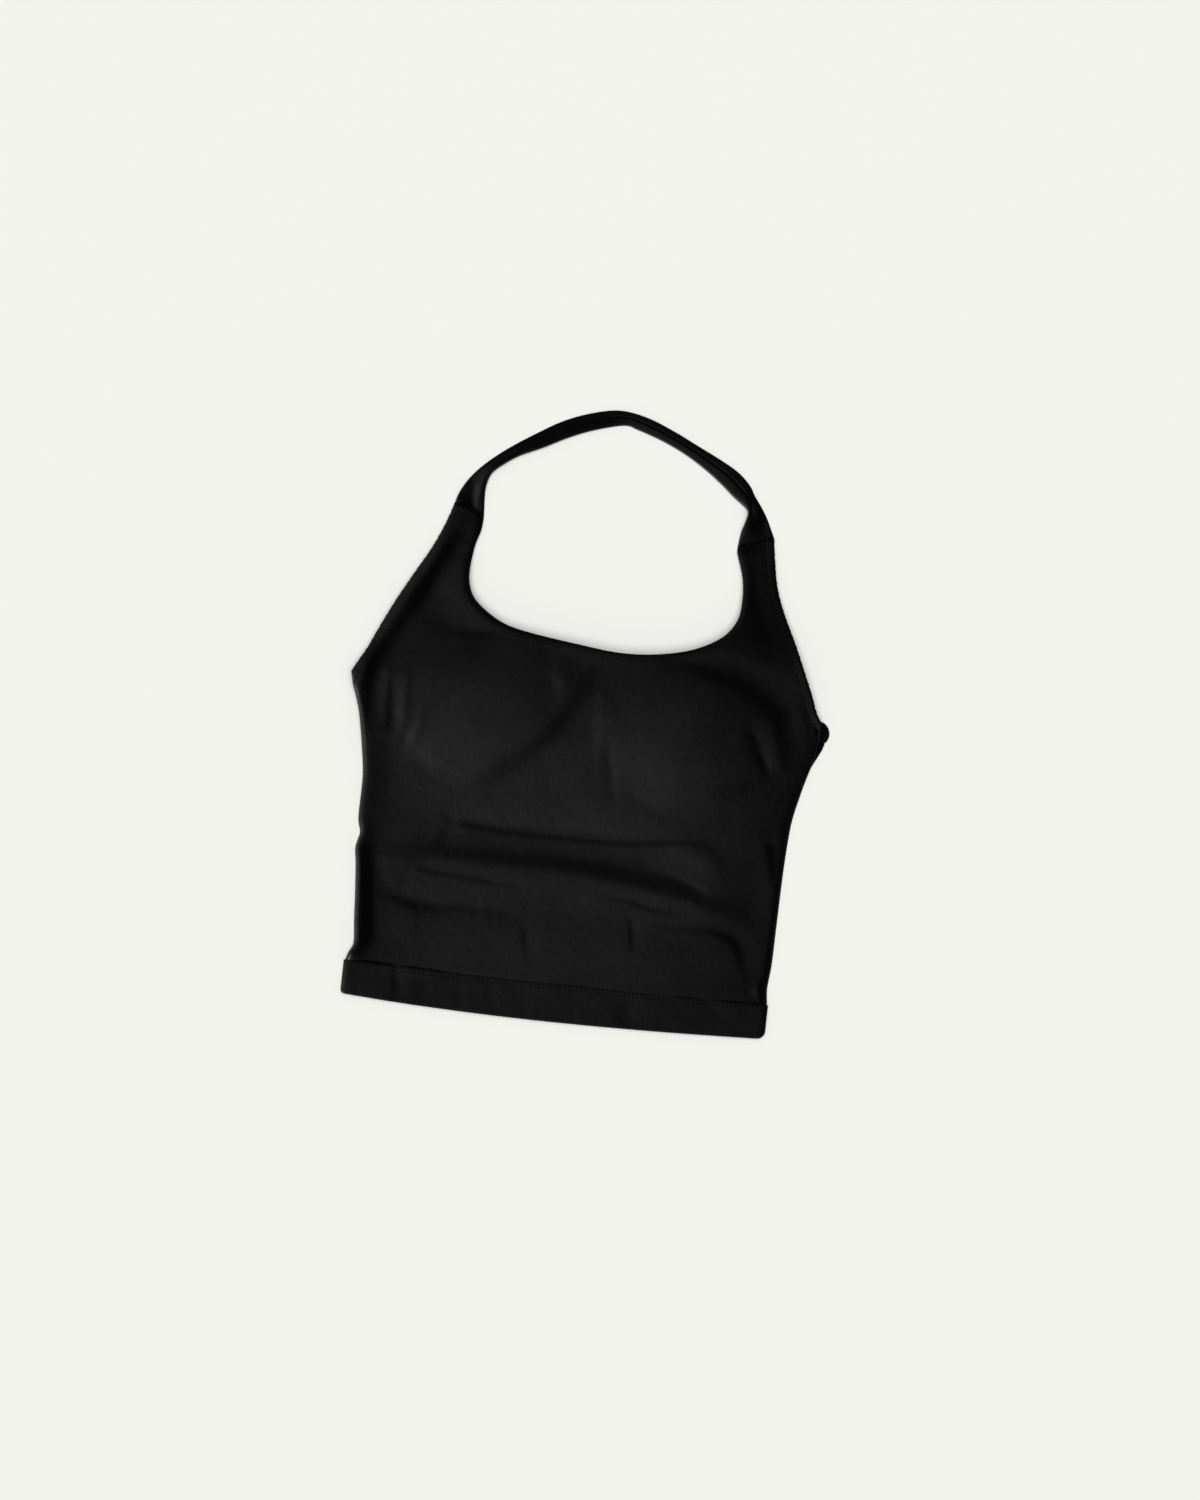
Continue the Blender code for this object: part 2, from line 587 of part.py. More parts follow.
def make_hem(finish):
    """The turned hem: a flat tube whose two layers meet in a rolled fold at each side."""
    outside, inside_wall = [], []
    shrink = 1 - 2 * HEM_END_WALL / (HEM_RIGHT - HEM_LEFT)
    half = HEM_HEIGHT / 2
    for row in range(HEM_ROWS + 1):
        xs, ys = hem_row(row / HEM_ROWS)
        turn = quarter_round(np.minimum(xs - HEM_LEFT, HEM_RIGHT - xs) / HEM_ROLL)
        outside.append(ring_points(xs, ys, half, half * turn))
        inner_xs = HEM_LEFT + HEM_END_WALL + (xs - HEM_LEFT) * shrink
        inner_ys = np.interp(inner_xs, xs, ys)
        inside_wall.append(ring_points(inner_xs, inner_ys, half, (half - HEM_WALL) * turn))
    points = np.vstack(outside + inside_wall)
    size = len(outside[0])
    inner = (HEM_ROWS + 1) * size
    last = HEM_ROWS * size
    faces = []
    for i in range(size):
        j = (i + 1) % size
        for row in range(0, last, size):
            a, b = row + i, row + j
            faces.append((a, a + size, b + size, b))
            faces.append((inner + a, inner + b, inner + b + size, inner + a + size))
        faces.append((i, j, inner + j, inner + i))
        faces.append((last + i, last + inner + i, last + inner + j, last + j))
    add_object("hem_band", points, faces, finish)


def ring_points(xs, ys, middle, half):
    """A closed ring: along the lower layer from left to right, and back along the upper."""
    lower = np.column_stack([xs, ys, middle - half])
    upper = np.column_stack([xs, ys, middle + half])[::-1]
    return np.vstack([lower, upper[1:-1]])


def strap_sections():
    """The strap's table as even stations along it."""
    rows = spline([tuple(row) for row in STRAP], 1.0)
    middle = 0.5 * (rows[:, 0:2] + rows[:, 2:4])
    along = np.concatenate([[0], np.cumsum(np.linalg.norm(np.diff(middle, axis=0), axis=1))])
    at = np.linspace(0, along[-1], STRAP_STATIONS)
    return np.stack([np.interp(at, along, rows[:, k]) for k in range(6)], axis=1)


def strap_ring(station):
    """One section across the strap: flat below, with its crest above."""
    outer, inner = station[0:2], station[2:4]
    height, crest = station[4], station[5]
    across = inner - outer
    side = min(STRAP_SIDE, 0.45 * height)
    ring = []
    for share in np.linspace(-1, 1, STRAP_TOP_POINTS):
        reach = 1 + crest if share < crest else 1 - crest
        fall = abs(share - crest) / max(reach, 0.2)
        ring.append((*(outer + across * (1 + share) / 2), side + (height - side) * (1 - fall**1.7)))
    ring.append((*inner, 0.5 * side))
    ring.append((*(inner - 0.12 * across), 0.0))
    ring.append((*(outer + 0.12 * across), 0.0))
    ring.append((*outer, 0.5 * side))
    return ring


def make_strap(finish):
    """The neck strap: a folded band that turns over near each join."""
    rings = [strap_ring(station) for station in strap_sections()]
    size = len(rings[0])
    points = np.array([point for ring in rings for point in ring])
    faces = []
    for first in range(0, len(points) - size, size):
        for i in range(size):
            j = (i + 1) % size
            faces.append((first + i, first + j, first + j + size, first + i + size))
    faces.append(tuple(reversed(range(size))))
    faces.append(tuple(range(len(points) - size, len(points))))
    add_object("neck_strap", points, faces, finish)


def main():
    for old in list(bpy.data.objects):
        bpy.data.objects.remove(old)
    jersey = material("black_jersey", BLACK_JERSEY, 0.62)
    rib = material("black_rib_binding", BLACK_RIB, 0.7)
    foam = material("black_foam", BLACK_FOAM, 0.85)
    make_back(jersey)
    make_back_binding(rib)
    for cup in CUPS:
        make_cup(cup, foam)
    make_front(jersey)
    for armhole in ARMHOLES:
        make_armhole_binding(armhole, rib)
    make_hem(jersey)
    make_strap(jersey)


main()
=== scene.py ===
# %% [markdown]
# # A black halter neck top, laid flat
#
# The top is sewn from stretch jersey: a front in one piece with its two halter arms, a back
# panel under it, two soft cups between them, bound armholes, a turned hem and a neck strap.
# This lesson dresses its plain solids. Each one says where a piece lies; here every piece gets
# real cloth, with its creases, seams, stitches and sheen.
#
# All sizes are millimetres in the pattern's own frame: x to the right, y from the hem towards
# the neck, z up from the table.

# %% Load the frame
import math
from collections import namedtuple

import bpy
import numpy as np
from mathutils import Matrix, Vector
from mathutils.geometry import delaunay_2d_cdt


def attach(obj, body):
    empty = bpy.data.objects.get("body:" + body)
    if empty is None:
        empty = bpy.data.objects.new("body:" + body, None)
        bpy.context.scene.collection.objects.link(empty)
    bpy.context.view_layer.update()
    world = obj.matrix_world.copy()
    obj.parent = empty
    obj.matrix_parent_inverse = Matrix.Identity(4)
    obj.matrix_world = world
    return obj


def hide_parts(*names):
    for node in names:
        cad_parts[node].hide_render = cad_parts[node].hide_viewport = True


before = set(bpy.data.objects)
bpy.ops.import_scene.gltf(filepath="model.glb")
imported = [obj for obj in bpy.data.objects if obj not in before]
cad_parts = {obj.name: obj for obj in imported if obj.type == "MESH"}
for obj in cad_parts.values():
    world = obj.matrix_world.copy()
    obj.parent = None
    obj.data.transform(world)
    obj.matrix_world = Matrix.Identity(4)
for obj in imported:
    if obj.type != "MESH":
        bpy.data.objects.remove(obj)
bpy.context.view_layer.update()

MM = 0.001
PLACE = (-3.28, -226.25)
scene = bpy.context.scene
print("solids:", ", ".join(sorted(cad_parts)))

# %% [markdown]
# ## Camera, table and light
#
# The top lies on a pale table and is seen from straight above, turned a few degrees. Black
# cloth shows its shape only where light grazes it, so the main light is a wide, low one from
# the lower left: folds that face it shine, and folds that face away go dark. It lights the
# top alone, a ceiling light the table alone, and an even pale sky fills the rest.

# %% Camera
CAMERA_PLACE = (0.0110, -0.0240, 2.0)
CAMERA_TURN = 6.296  # degrees

camera = bpy.data.objects.new("camera", bpy.data.cameras.new("camera"))
camera.data.lens = 64
camera.data.sensor_width = 36
camera.location = CAMERA_PLACE
camera.rotation_euler = (0, 0, math.radians(CAMERA_TURN))
scene.collection.objects.link(camera)
scene.camera = camera
print("camera looks straight down from", CAMERA_PLACE[2], "m")

# %% Table and light
TABLE_HALF = 12.0  # metres, so that its edge lies far off
KEY_AZIMUTH = -46.0  # degrees: it shines from the lower left, over the hem's left corner
KEY_ELEVATION = 11.0
KEY_SPREAD = 16.0
KEY_STRENGTH = 13.6
CEILING_SPREAD = 60.0
CEILING_STRENGTH = 2.44
SKY_STRENGTH = 0.22

mesh = bpy.data.meshes.new("table")
corners = [(-1, -1), (1, -1), (1, 1), (-1, 1)]
mesh.from_pydata([(x * TABLE_HALF, y * TABLE_HALF, 0) for x, y in corners], [], [(0, 1, 2, 3)])
table_top = bpy.data.objects.new("table", mesh)
scene.collection.objects.link(table_top)


def soft_sun(name, azimuth, elevation, spread, strength, lit):
    """A wide, even light from far away, which lights one collection only."""
    data = bpy.data.lights.new(name, "SUN")
    data.energy = strength
    data.angle = math.radians(spread)
    light = bpy.data.objects.new(name, data)
    light.rotation_euler = (math.radians(90 - elevation), 0, math.radians(azimuth))
    light.light_linking.receiver_collection = lit
    scene.collection.objects.link(light)


the_top = bpy.data.collections.new("the_top")
the_table = bpy.data.collections.new("the_table")
the_table.objects.link(table_top)
soft_sun("low_window", KEY_AZIMUTH, KEY_ELEVATION, KEY_SPREAD, KEY_STRENGTH, the_top)
soft_sun("ceiling", 0, 90, CEILING_SPREAD, CEILING_STRENGTH, the_table)
world = bpy.data.worlds.new("pale_sky")
world.use_nodes = True
sky = world.node_tree.nodes["Background"]
sky.inputs["Color"].default_value = (1.0, 1.0, 0.99, 1)
sky.inputs["Strength"].default_value = SKY_STRENGTH
scene.world = world
scene.view_settings.view_transform = "Standard"
scene.view_settings.look = "None"

# %% [markdown]
# ## Materials
#
# Each material starts from what the real one is. Colours are given as on a screen, in hex, and
# one function turns them to the linear values that Blender works in. One helper adds a node
# with its settings and its links, so that each material below reads as a short recipe.

# %% Helpers for materials
def linear(hex_colour):
    """One sRGB hex colour as linear red, green, blue and alpha."""
    parts = [int(hex_colour[i:i + 2], 16) / 255 for i in (1, 3, 5)]
    return (*[p / 12.92 if p <= 0.04045 else ((p + 0.055) / 1.055) ** 2.4 for p in parts], 1)


def add_node(tree, kind, settings=None, inputs=None):
    """A node with its settings, and its inputs set to numbers or linked to other sockets."""
    node = tree.nodes.new(kind)
    for name, value in (settings or {}).items():
        setattr(node, name, value)
    for name, value in (inputs or {}).items():
        if isinstance(value, bpy.types.NodeSocket):
            tree.links.new(value, node.inputs[name])
        else:
            node.inputs[name].default_value = value
    return node


def new_material(name, settings):
    """A material with its shader's plain settings, its tree and its shader."""
    made = bpy.data.materials.new(name)
    made.use_nodes = True
    shader = made.node_tree.nodes["Principled BSDF"]
    for socket, value in settings.items():
        shader.inputs[socket].default_value = value
    return made, made.node_tree, shader


# %% [markdown]
# The table is plain pale board.

# %% Table material
painted_board, tree, shader = new_material(
    "painted_board", {"Roughness": 0.9, "Specular IOR Level": 0.1})
grain = add_node(tree, "ShaderNodeTexNoise", None, {"Scale": 3.0, "Detail": 3.0})
tone = add_node(tree, "ShaderNodeMix", {"data_type": "RGBA"},
                {"Factor": grain.outputs["Fac"], "A": linear("#F3F4EF"), "B": linear("#F1F2ED")})
tree.links.new(tone.outputs["Result"], shader.inputs["Base Color"])
table_top.data.materials.append(painted_board)
print("table:", painted_board.name)

# %% [markdown]
# The cloth is weft-knitted nylon and elastane jersey, dyed black. The eye gets a deep black
# with a soft, slightly broken sheen: fine upright wales, a little lint, and a surface that
# never lies perfectly even. Real wales are 0.5 mm apart; they are drawn as uneven streaks
# 1.3 mm wide, which is as coarse as they need to be to show at all, and without a moire.

# %% Jersey material
JERSEY_HEX = "#09090A"
JERSEY_LIGHT_HEX = "#101011"
WALE = 1.3 * MM
PAINTED_LIGHT_GAIN = 0.3  # how much paler a value of 1 makes the jersey: its stretch, or painted light


def jersey_material(name, dark_hex, light_hex, roughness, shine):
    """Black knit: wales as uneven streaks, fine loops, soft patches, and painted light and shade.
    """
    made, tree, shader = new_material(name, {
        "Specular IOR Level": shine, "Sheen Weight": 0.02, "Sheen Roughness": 0.4})
    place = add_node(tree, "ShaderNodeTexCoord").outputs["Object"]
    upright = add_node(tree, "ShaderNodeMapping", None,
                       {"Vector": place, "Scale": (1 / WALE, 0.12 / WALE, 0.12 / WALE)})
    wales = add_node(tree, "ShaderNodeTexNoise", None,
                     {"Vector": upright.outputs["Vector"], "Scale": 1.0, "Detail": 2.0})
    loops = add_node(tree, "ShaderNodeTexNoise", None,
                       {"Vector": place, "Scale": 620.0, "Detail": 2.0})
    patches = add_node(tree, "ShaderNodeTexNoise", None,
                       {"Vector": place, "Scale": 28.0, "Detail": 4.0, "Roughness": 0.55})
    mottle = add_node(tree, "ShaderNodeTexNoise", None,
                      {"Vector": place, "Scale": 150.0, "Detail": 5.0, "Roughness": 0.65})
    cloudy = add_node(tree, "ShaderNodeMix", {"data_type": "FLOAT"},
                      {"Factor": 0.55, "A": patches.outputs["Fac"], "B": mottle.outputs["Fac"]})
    spread = add_node(tree, "ShaderNodeMapRange", None,
                      {"Value": cloudy.outputs["Result"], "From Min": 0.3, "From Max": 0.7})
    tone = add_node(tree, "ShaderNodeMix", {"data_type": "RGBA"},
                    {"Factor": spread.outputs["Result"], "A": linear(dark_hex),
                     "B": linear(light_hex)})
    # the colour is scaled by an attribute of painted light and painted shade, with a little real
    # stretch over the cups
    painted_light_and_stretch = add_node(tree, "ShaderNodeAttribute", {"attribute_name": "painted_light_and_stretch"})
    painted_light_gain = add_node(tree, "ShaderNodeMath", {"operation": "MULTIPLY_ADD"})
    tree.links.new(painted_light_and_stretch.outputs["Fac"], painted_light_gain.inputs[0])
    painted_light_gain.inputs[1].default_value = PAINTED_LIGHT_GAIN
    painted_light_gain.inputs[2].default_value = 1.0
    knit_and_painted_light = add_node(tree, "ShaderNodeVectorMath", {"operation": "SCALE"},
                       {"Vector": tone.outputs["Result"], "Scale": painted_light_gain.outputs["Value"]})
    tree.links.new(knit_and_painted_light.outputs["Vector"], shader.inputs["Base Color"])
    rough = add_node(tree, "ShaderNodeMapRange", None,
                     {"Value": patches.outputs["Fac"], "To Min": roughness - 0.05,
                      "To Max": roughness + 0.05})
    tree.links.new(rough.outputs["Result"], shader.inputs["Roughness"])
    knit = add_node(tree, "ShaderNodeMix", {"data_type": "FLOAT"},
                    {"Factor": 0.5, "A": wales.outputs["Fac"], "B": loops.outputs["Fac"]})
    fine = add_node(tree, "ShaderNodeBump", None,
                    {"Strength": 0.25, "Distance": 0.0004, "Height": knit.outputs["Result"]})
    soft = add_node(tree, "ShaderNodeBump", None,
                    {"Strength": 0.4, "Distance": 0.0014, "Height": cloudy.outputs["Result"],
                     "Normal": fine.outputs["Normal"]})
    tree.links.new(soft.outputs["Normal"], shader.inputs["Normal"])
    return made


black_jersey = jersey_material("nylon_elastane_jersey", JERSEY_HEX, JERSEY_LIGHT_HEX, 0.5, 0.08)
folded_elastic = jersey_material("folded_elastic", "#0D0D0E", "#111112", 0.6, 0.08)
print("materials:", black_jersey.name, folded_elastic.name)

# %% [markdown]
# The cups are moulded polyurethane foam under a thin knit, matt and even. The thread is spun
# polyester in the cloth's own black, with its twist drawn as paler bands: a painted glint.

# %% Foam and thread materials
moulded_foam, tree, shader = new_material(
    "moulded_foam", {"Roughness": 0.85, "Specular IOR Level": 0.1})
place = add_node(tree, "ShaderNodeTexCoord").outputs["Object"]
cells = add_node(tree, "ShaderNodeTexNoise", None,
                 {"Vector": place, "Scale": 420.0, "Detail": 3.0})
tone = add_node(tree, "ShaderNodeMix", {"data_type": "RGBA"},
                {"Factor": cells.outputs["Fac"], "A": linear("#141415"), "B": linear("#1C1C1D")})
tree.links.new(tone.outputs["Result"], shader.inputs["Base Color"])
pores = add_node(tree, "ShaderNodeBump", None,
                 {"Strength": 0.3, "Distance": 0.0003, "Height": cells.outputs["Fac"]})
tree.links.new(pores.outputs["Normal"], shader.inputs["Normal"])

polyester_thread, tree, shader = new_material(
    "polyester_thread", {"Roughness": 0.6, "Specular IOR Level": 0.06})
place = add_node(tree, "ShaderNodeTexCoord").outputs["Object"]
# paler diagonal bands along the thread: a painted glint on its twist
twist_glint = add_node(tree, "ShaderNodeTexWave", {"bands_direction": "DIAGONAL"},
                 {"Vector": place, "Scale": 900.0})
tone = add_node(tree, "ShaderNodeMix", {"data_type": "RGBA"},
                {"Factor": twist_glint.outputs["Fac"], "A": linear("#08080A"), "B": linear("#0E0E0F")})
tree.links.new(tone.outputs["Result"], shader.inputs["Base Color"])
print("materials:", moulded_foam.name, polyester_thread.name)

# %% [markdown]
# ## The pattern's edges
#
# A pattern maker draws a piece as a few points joined by smooth curves. The tables hold those
# points, read from the hem to the neck or from left to right.

# %% Edges
def table(row, lines):
    """A table whose columns have names."""
    return [row(*line) for line in lines]


Edge = namedtuple("Edge", "y x")
LEFT_SIDE = table(Edge, [
    (26, -158.4), (32, -156.4), (38.5, -153.7), (56, -155.2), (80, -157), (99, -158.8),
    (109, -160.2), (116, -159), (122, -157.9), (133, -160.4), (164, -160.6), (190, -164.4),
    (212, -168.6), (231, -175),
])
RIGHT_SIDE = table(Edge, [
    (26, 159.9), (38, 158.6), (56, 160), (86, 160.4), (116, 160.8), (140, 161.5), (164, 163.2),
    (182, 166.8), (200, 171), (213, 174.6), (228, 177),
])
LEFT_ARMHOLE = table(Edge, [
    (240.5, -177), (248, -173.2), (260, -166.8), (272, -161.6), (296, -150.4), (320, -137.8),
    (338, -128), (356, -120.2), (374.4, -114.1),
])
RIGHT_ARMHOLE = table(Edge, [
    (240.5, 176.6), (248, 172), (260, 167.4), (272, 162), (296, 151.2), (320, 139.6), (338, 133),
    (356, 129.4), (373, 126.7),
])
NECKLINE = table(Edge, [
    (366.6, -91.3), (356, -92.2), (344, -95.5), (326, -97.2), (313, -95.4), (302, -88.5),
    (290, -70.8), (284, -49.8), (278, -4), (275.8, 22), (277.6, 48), (284, 74.5), (295.5, 95.4),
    (310, 105.8), (326, 107.8), (340, 106.6), (350, 103.8), (360, 100.4), (366.6, 100.3),
])
HEM_TOP = table(Edge, [(25.4, -158.6), (24.6, -60), (25.2, 30), (25.8, 159.8)])
HEM_BOTTOM = table(Edge, [
    (0.1, -158.6), (-2.2, -118), (-3.7, -70), (-4.3, -20), (-3.8, 35), (-2.4, 90), (0.3, 156),
])
BACK_TOP = table(Edge, [
    (238, -175.8), (233, -140), (227.5, -60), (226, 10), (227.5, 80), (232, 145), (236.4, 181.5),
])
print(len(LEFT_SIDE) + len(RIGHT_SIDE), "points on the sides")

# %% [markdown]
# A Catmull-Rom curve runs through the points of a table, and is cut into even steps. The other
# helpers move such a line, measure from it, and blend softly from one value to another.

# %% Curves
def spline(points, step):
    """A Catmull-Rom curve through the points, as points about a step apart."""
    p = np.array(points, float)
    ends = np.vstack([2 * p[0] - p[1], p, 2 * p[-1] - p[-2]])
    fine = []
    for a, b, c, d in zip(ends, ends[1:], ends[2:], ends[3:]):
        for t in np.linspace(0, 1, 12, endpoint=False):
            fine.append(0.5 * (2 * b + (c - a) * t + (2 * a - 5 * b + 4 * c - d) * t**2
                               + (3 * b - a - 3 * c + d) * t**3))
    return respaced(np.array(fine + [p[-1]]), step)


def respaced(line, step):
    """The same line, with its points evenly about a step apart."""
    along = lengths(line)
    at = np.linspace(0, along[-1], max(2, round(along[-1] / step) + 1))
    return np.stack([np.interp(at, along, line[:, k]) for k in range(line.shape[1])], axis=1)


def lengths(line):
    """How far along a line each of its points is."""
    steps = np.linalg.norm(np.diff(line[:, :2], axis=0), axis=1)
    return np.concatenate([[0], np.cumsum(steps)])


def edge_line(rows, step):
    """A table of edge points as an even line of x and y."""
    return spline([(row.x, row.y) for row in rows], step)


def moved_in(line, distance):
    """The line moved to its right-hand side by a distance."""
    along = np.gradient(line, axis=0)
    along /= np.linalg.norm(along, axis=1)[:, None]
    return line + distance * np.stack([along[:, 1], -along[:, 0]], axis=1)


def distance_to(line, x, y):
    """How far points are from a line."""
    best = np.full(x.shape, np.inf)
    for (ax, ay), (bx, by) in zip(line, line[1:]):
        dx, dy = bx - ax, by - ay
        t = np.clip(((x - ax) * dx + (y - ay) * dy) / (dx * dx + dy * dy), 0, 1)
        best = np.minimum(best, np.hypot(x - ax - t * dx, y - ay - t * dy))
    return best


def smooth(value, start, end):
    """0 before start and 1 after end, with soft ends."""
    t = np.clip((value - start) / (end - start), 0, 1)
    return t * t * (3 - 2 * t)


def quarter_round(share):
    """A round profile: 0 at 0, upright there, and 1 from 1 on."""
    return np.sqrt(1 - (1 - np.clip(share, 0, 1)) ** 2)


SEAM_GAP = 0.35
LEFT_LINE = edge_line(LEFT_SIDE, 2.0)
RIGHT_LINE = edge_line(RIGHT_SIDE, 2.0)
NECK_LINE = edge_line(NECKLINE, 3.0)
HEM_TOP_LINE = edge_line(HEM_TOP, 4.0)
HEM_BOTTOM_LINE = edge_line(HEM_BOTTOM, 4.0)
BACK_TOP_LINE = edge_line(BACK_TOP, 4.0)
print(f"neckline {lengths(NECK_LINE)[-1]:.0f} mm along its edge")

# %% [markdown]
# ## How the cloth lies
#
# Cloth that lies flat over something soft is a height field: each place has one height. It
# could come from a cloth simulation, but these creases were pressed in by hand, so they are
# listed one by one: each is a soft ridge or trough along a curve. A row gives points along the
# fold with its height there, in millimetres, and how wide it falls away on the left and on the
# right of someone who walks along it.

# %% Folds
Fold = namedtuple("Fold", "left right path")
FOLDS = [
    # the small lit facet between the left cup and the neckline
    Fold(18, 8, [(-29, 267, 0), (-22, 259, 0.7), (-16, 249, 0.9), (-15, 239, 0.5),
                 (-20, 228, 0)]),
    # the narrow ridge in the middle, and the cloth that dips beside it
    Fold(9, 5, [(12, 250, 0), (13, 236, 0.5), (15, 214, 0.7), (17, 196, 0.7), (20, 178, 0.4),
                (22, 160, 0)]),
    Fold(5, 14, [(17, 226, 0), (19, 206, -0.6), (22, 190, -0.9), (26, 172, -0.7), (30, 158, 0)]),
    # the top edges of both cups
    Fold(7, 2.2, [(-112, 277.5, 0), (-102, 278, -0.4), (-84, 280, -0.7), (-66, 283, -0.4)]),
    Fold(13, 6.5, [(42, 279, 0), (60, 277, -1), (78, 274.5, -1.4), (96, 271, -1.5),
                   (112, 265.5, -1.5), (126, 258, -1.4), (138, 252, -1.2), (148, 245, -0.8),
                   (156, 240, 0)]),
    # wrinkles between the cups and the sides
    Fold(3, 5, [(-150, 250, 0), (-149.5, 238, 0.5), (-149, 220, 0.6), (-148, 202, 0.4),
                (-147, 190, 0)]),
    Fold(3.2, 5, [(-134, 244, 0), (-134.5, 232, 0.6), (-134, 216, 0.7), (-135, 200, 0.5),
                  (-137, 186, 0)]),
    Fold(4.4, 3.6, [(-119, 222, 0), (-121, 210, 0.6), (-124, 198, 0.7), (-128, 188, 0.4),
                    (-132, 176, 0)]),
    Fold(4.4, 4.4, [(-112, 212, 0), (-112, 200, 0.16), (-110, 188, 0.16), (-106, 176, 0)]),
    Fold(4.4, 4.8, [(-112, 182, 0), (-102, 180, 0.1), (-92, 178.5, 0.14), (-80, 173, 0)]),
    Fold(3.4, 4.6, [(120, 236, 0), (127, 226, -0.5), (133, 214, -0.8), (139, 203, -0.8),
                    (143, 193, 0)]),
    Fold(6, 6, [(134, 242, 0), (139, 234, 0.7), (145, 220, 1), (150, 206, 0.7), (153, 193, 0)]),
    Fold(8, 6, [(136, 206, 0), (129, 196, -0.7), (121, 188, -0.8), (110, 184, -0.5),
                (98, 180, 0)]),
    Fold(6, 6, [(160, 244, 0), (152, 236, -0.4), (150, 226, -0.3), (152, 214, 0)]),
    # the slack cloth under the bust, from the highest fold to the lowest
    Fold(10, 15, [(52, 131, 0), (66, 134, 0.8), (82, 136.6, 1.4), (94, 134, 1.5), (104, 126, 1.3),
                  (111, 115, 1), (118, 105, 0)]),
    Fold(8, 3, [(60, 121, 0), (74, 120, 0.4), (88, 116, 0.6), (102, 109.5, 0.6), (114, 103, 0)]),
    Fold(2.2, 6, [(-100, 117, 0), (-95.5, 126, -0.8), (-91, 132, -0.8), (-86, 137, 0)]),
    Fold(8, 2.2, [(-96, 134, 0), (-89, 136.4, -0.5), (-76, 137, -0.8), (-45, 135, -0.8),
                  (0, 135.4, -0.8), (40, 135.8, -0.8), (60, 138.6, -0.8), (78, 141, -0.6),
                  (92, 142.6, -0.3), (104, 143, 0)]),
    Fold(14, 7, [(-114, 120, 0), (-104, 120, -0.2), (-80, 120.5, -0.4), (-40, 121.5, -0.5),
                 (-10, 122, -0.7), (20, 121, -0.8), (50, 118, -0.6), (75, 114.6, -0.8),
                 (95, 109.6, -0.8), (108, 106, -0.6), (118, 102.5, -0.3), (127, 99, 0)]),
    Fold(9, 18, [(-142, 98, 0), (-130, 102, 0.9), (-100, 106, 1.5), (-50, 107, 1.7),
                 (0, 106.4, 1.8), (40, 103, 1.8), (70, 98, 1.6), (95, 93.4, 1.2), (115, 88, 0.7),
                 (132, 83, 0)]),
    Fold(2.2, 6, [(-125, 82, 0), (-122, 90, -0.5), (-118, 96, -0.5), (-114, 100, 0)]),
    Fold(7, 2.2, [(-120, 99, 0), (-112, 100, -0.5), (-104, 100, -0.6), (-85, 98.6, -0.6),
                  (-60, 96.6, -0.5), (-40, 95, -0.3), (-28, 93, 0)]),
    Fold(8, 2, [(16, 93, 0), (32, 93.4, -0.4), (48, 93, -0.5), (60, 90, -0.6), (74, 88.6, -0.5),
                (90, 87.4, -0.3), (102, 86, 0)]),
    Fold(9, 5, [(-138, 81, 0), (-127, 79, -0.9), (-113, 75.5, -1.2), (-98, 74, -1),
                (-80, 76, -0.7), (-62, 75, -0.5), (-46, 74, -0.4), (-34, 73, 0)]),
    Fold(8, 4, [(74, 77, 0), (90, 78.4, -0.4), (104, 79, -0.7), (116, 78, -0.9), (126, 75, -1.1),
                (133, 69.4, -1.1), (137, 62, -1), (140, 54, -0.7), (143.5, 46, -0.4),
                (147, 38, 0)]),
    Fold(12, 22, [(132, 146, 0), (136, 126, -0.8), (138, 106, -1.2), (140, 88, -0.8),
                  (142, 64, 0)]),
    Fold(5, 3, [(147, 150, 0), (150.5, 143, -1.5), (154, 132, -1.8), (156, 120, -0.8),
                (157, 112, 0)]),
    Fold(7, 2, [(-28, 68, 0), (-26, 58, -0.6), (-24, 46, -0.6), (-21, 34, 0)]),
    Fold(6, 1.6, [(50, 84, 0), (52, 74, -0.5), (54, 62, -0.5), (55, 52, 0)]),
    Fold(4, 2.6, [(-130, 50, 0), (-124, 46.5, -0.3), (-118, 43, -0.3), (-112, 40, 0)]),
]
print(len(FOLDS), "folds on the front")

# %% [markdown]
# A few more run beside the edges, where the other folds have to fade out: each arm sinks
# beside its binding or rolls up along the neckline, the right arm dips where the strap is
# sewn to it, a small knot lies low on the right side, and the body meets the hem's seam.

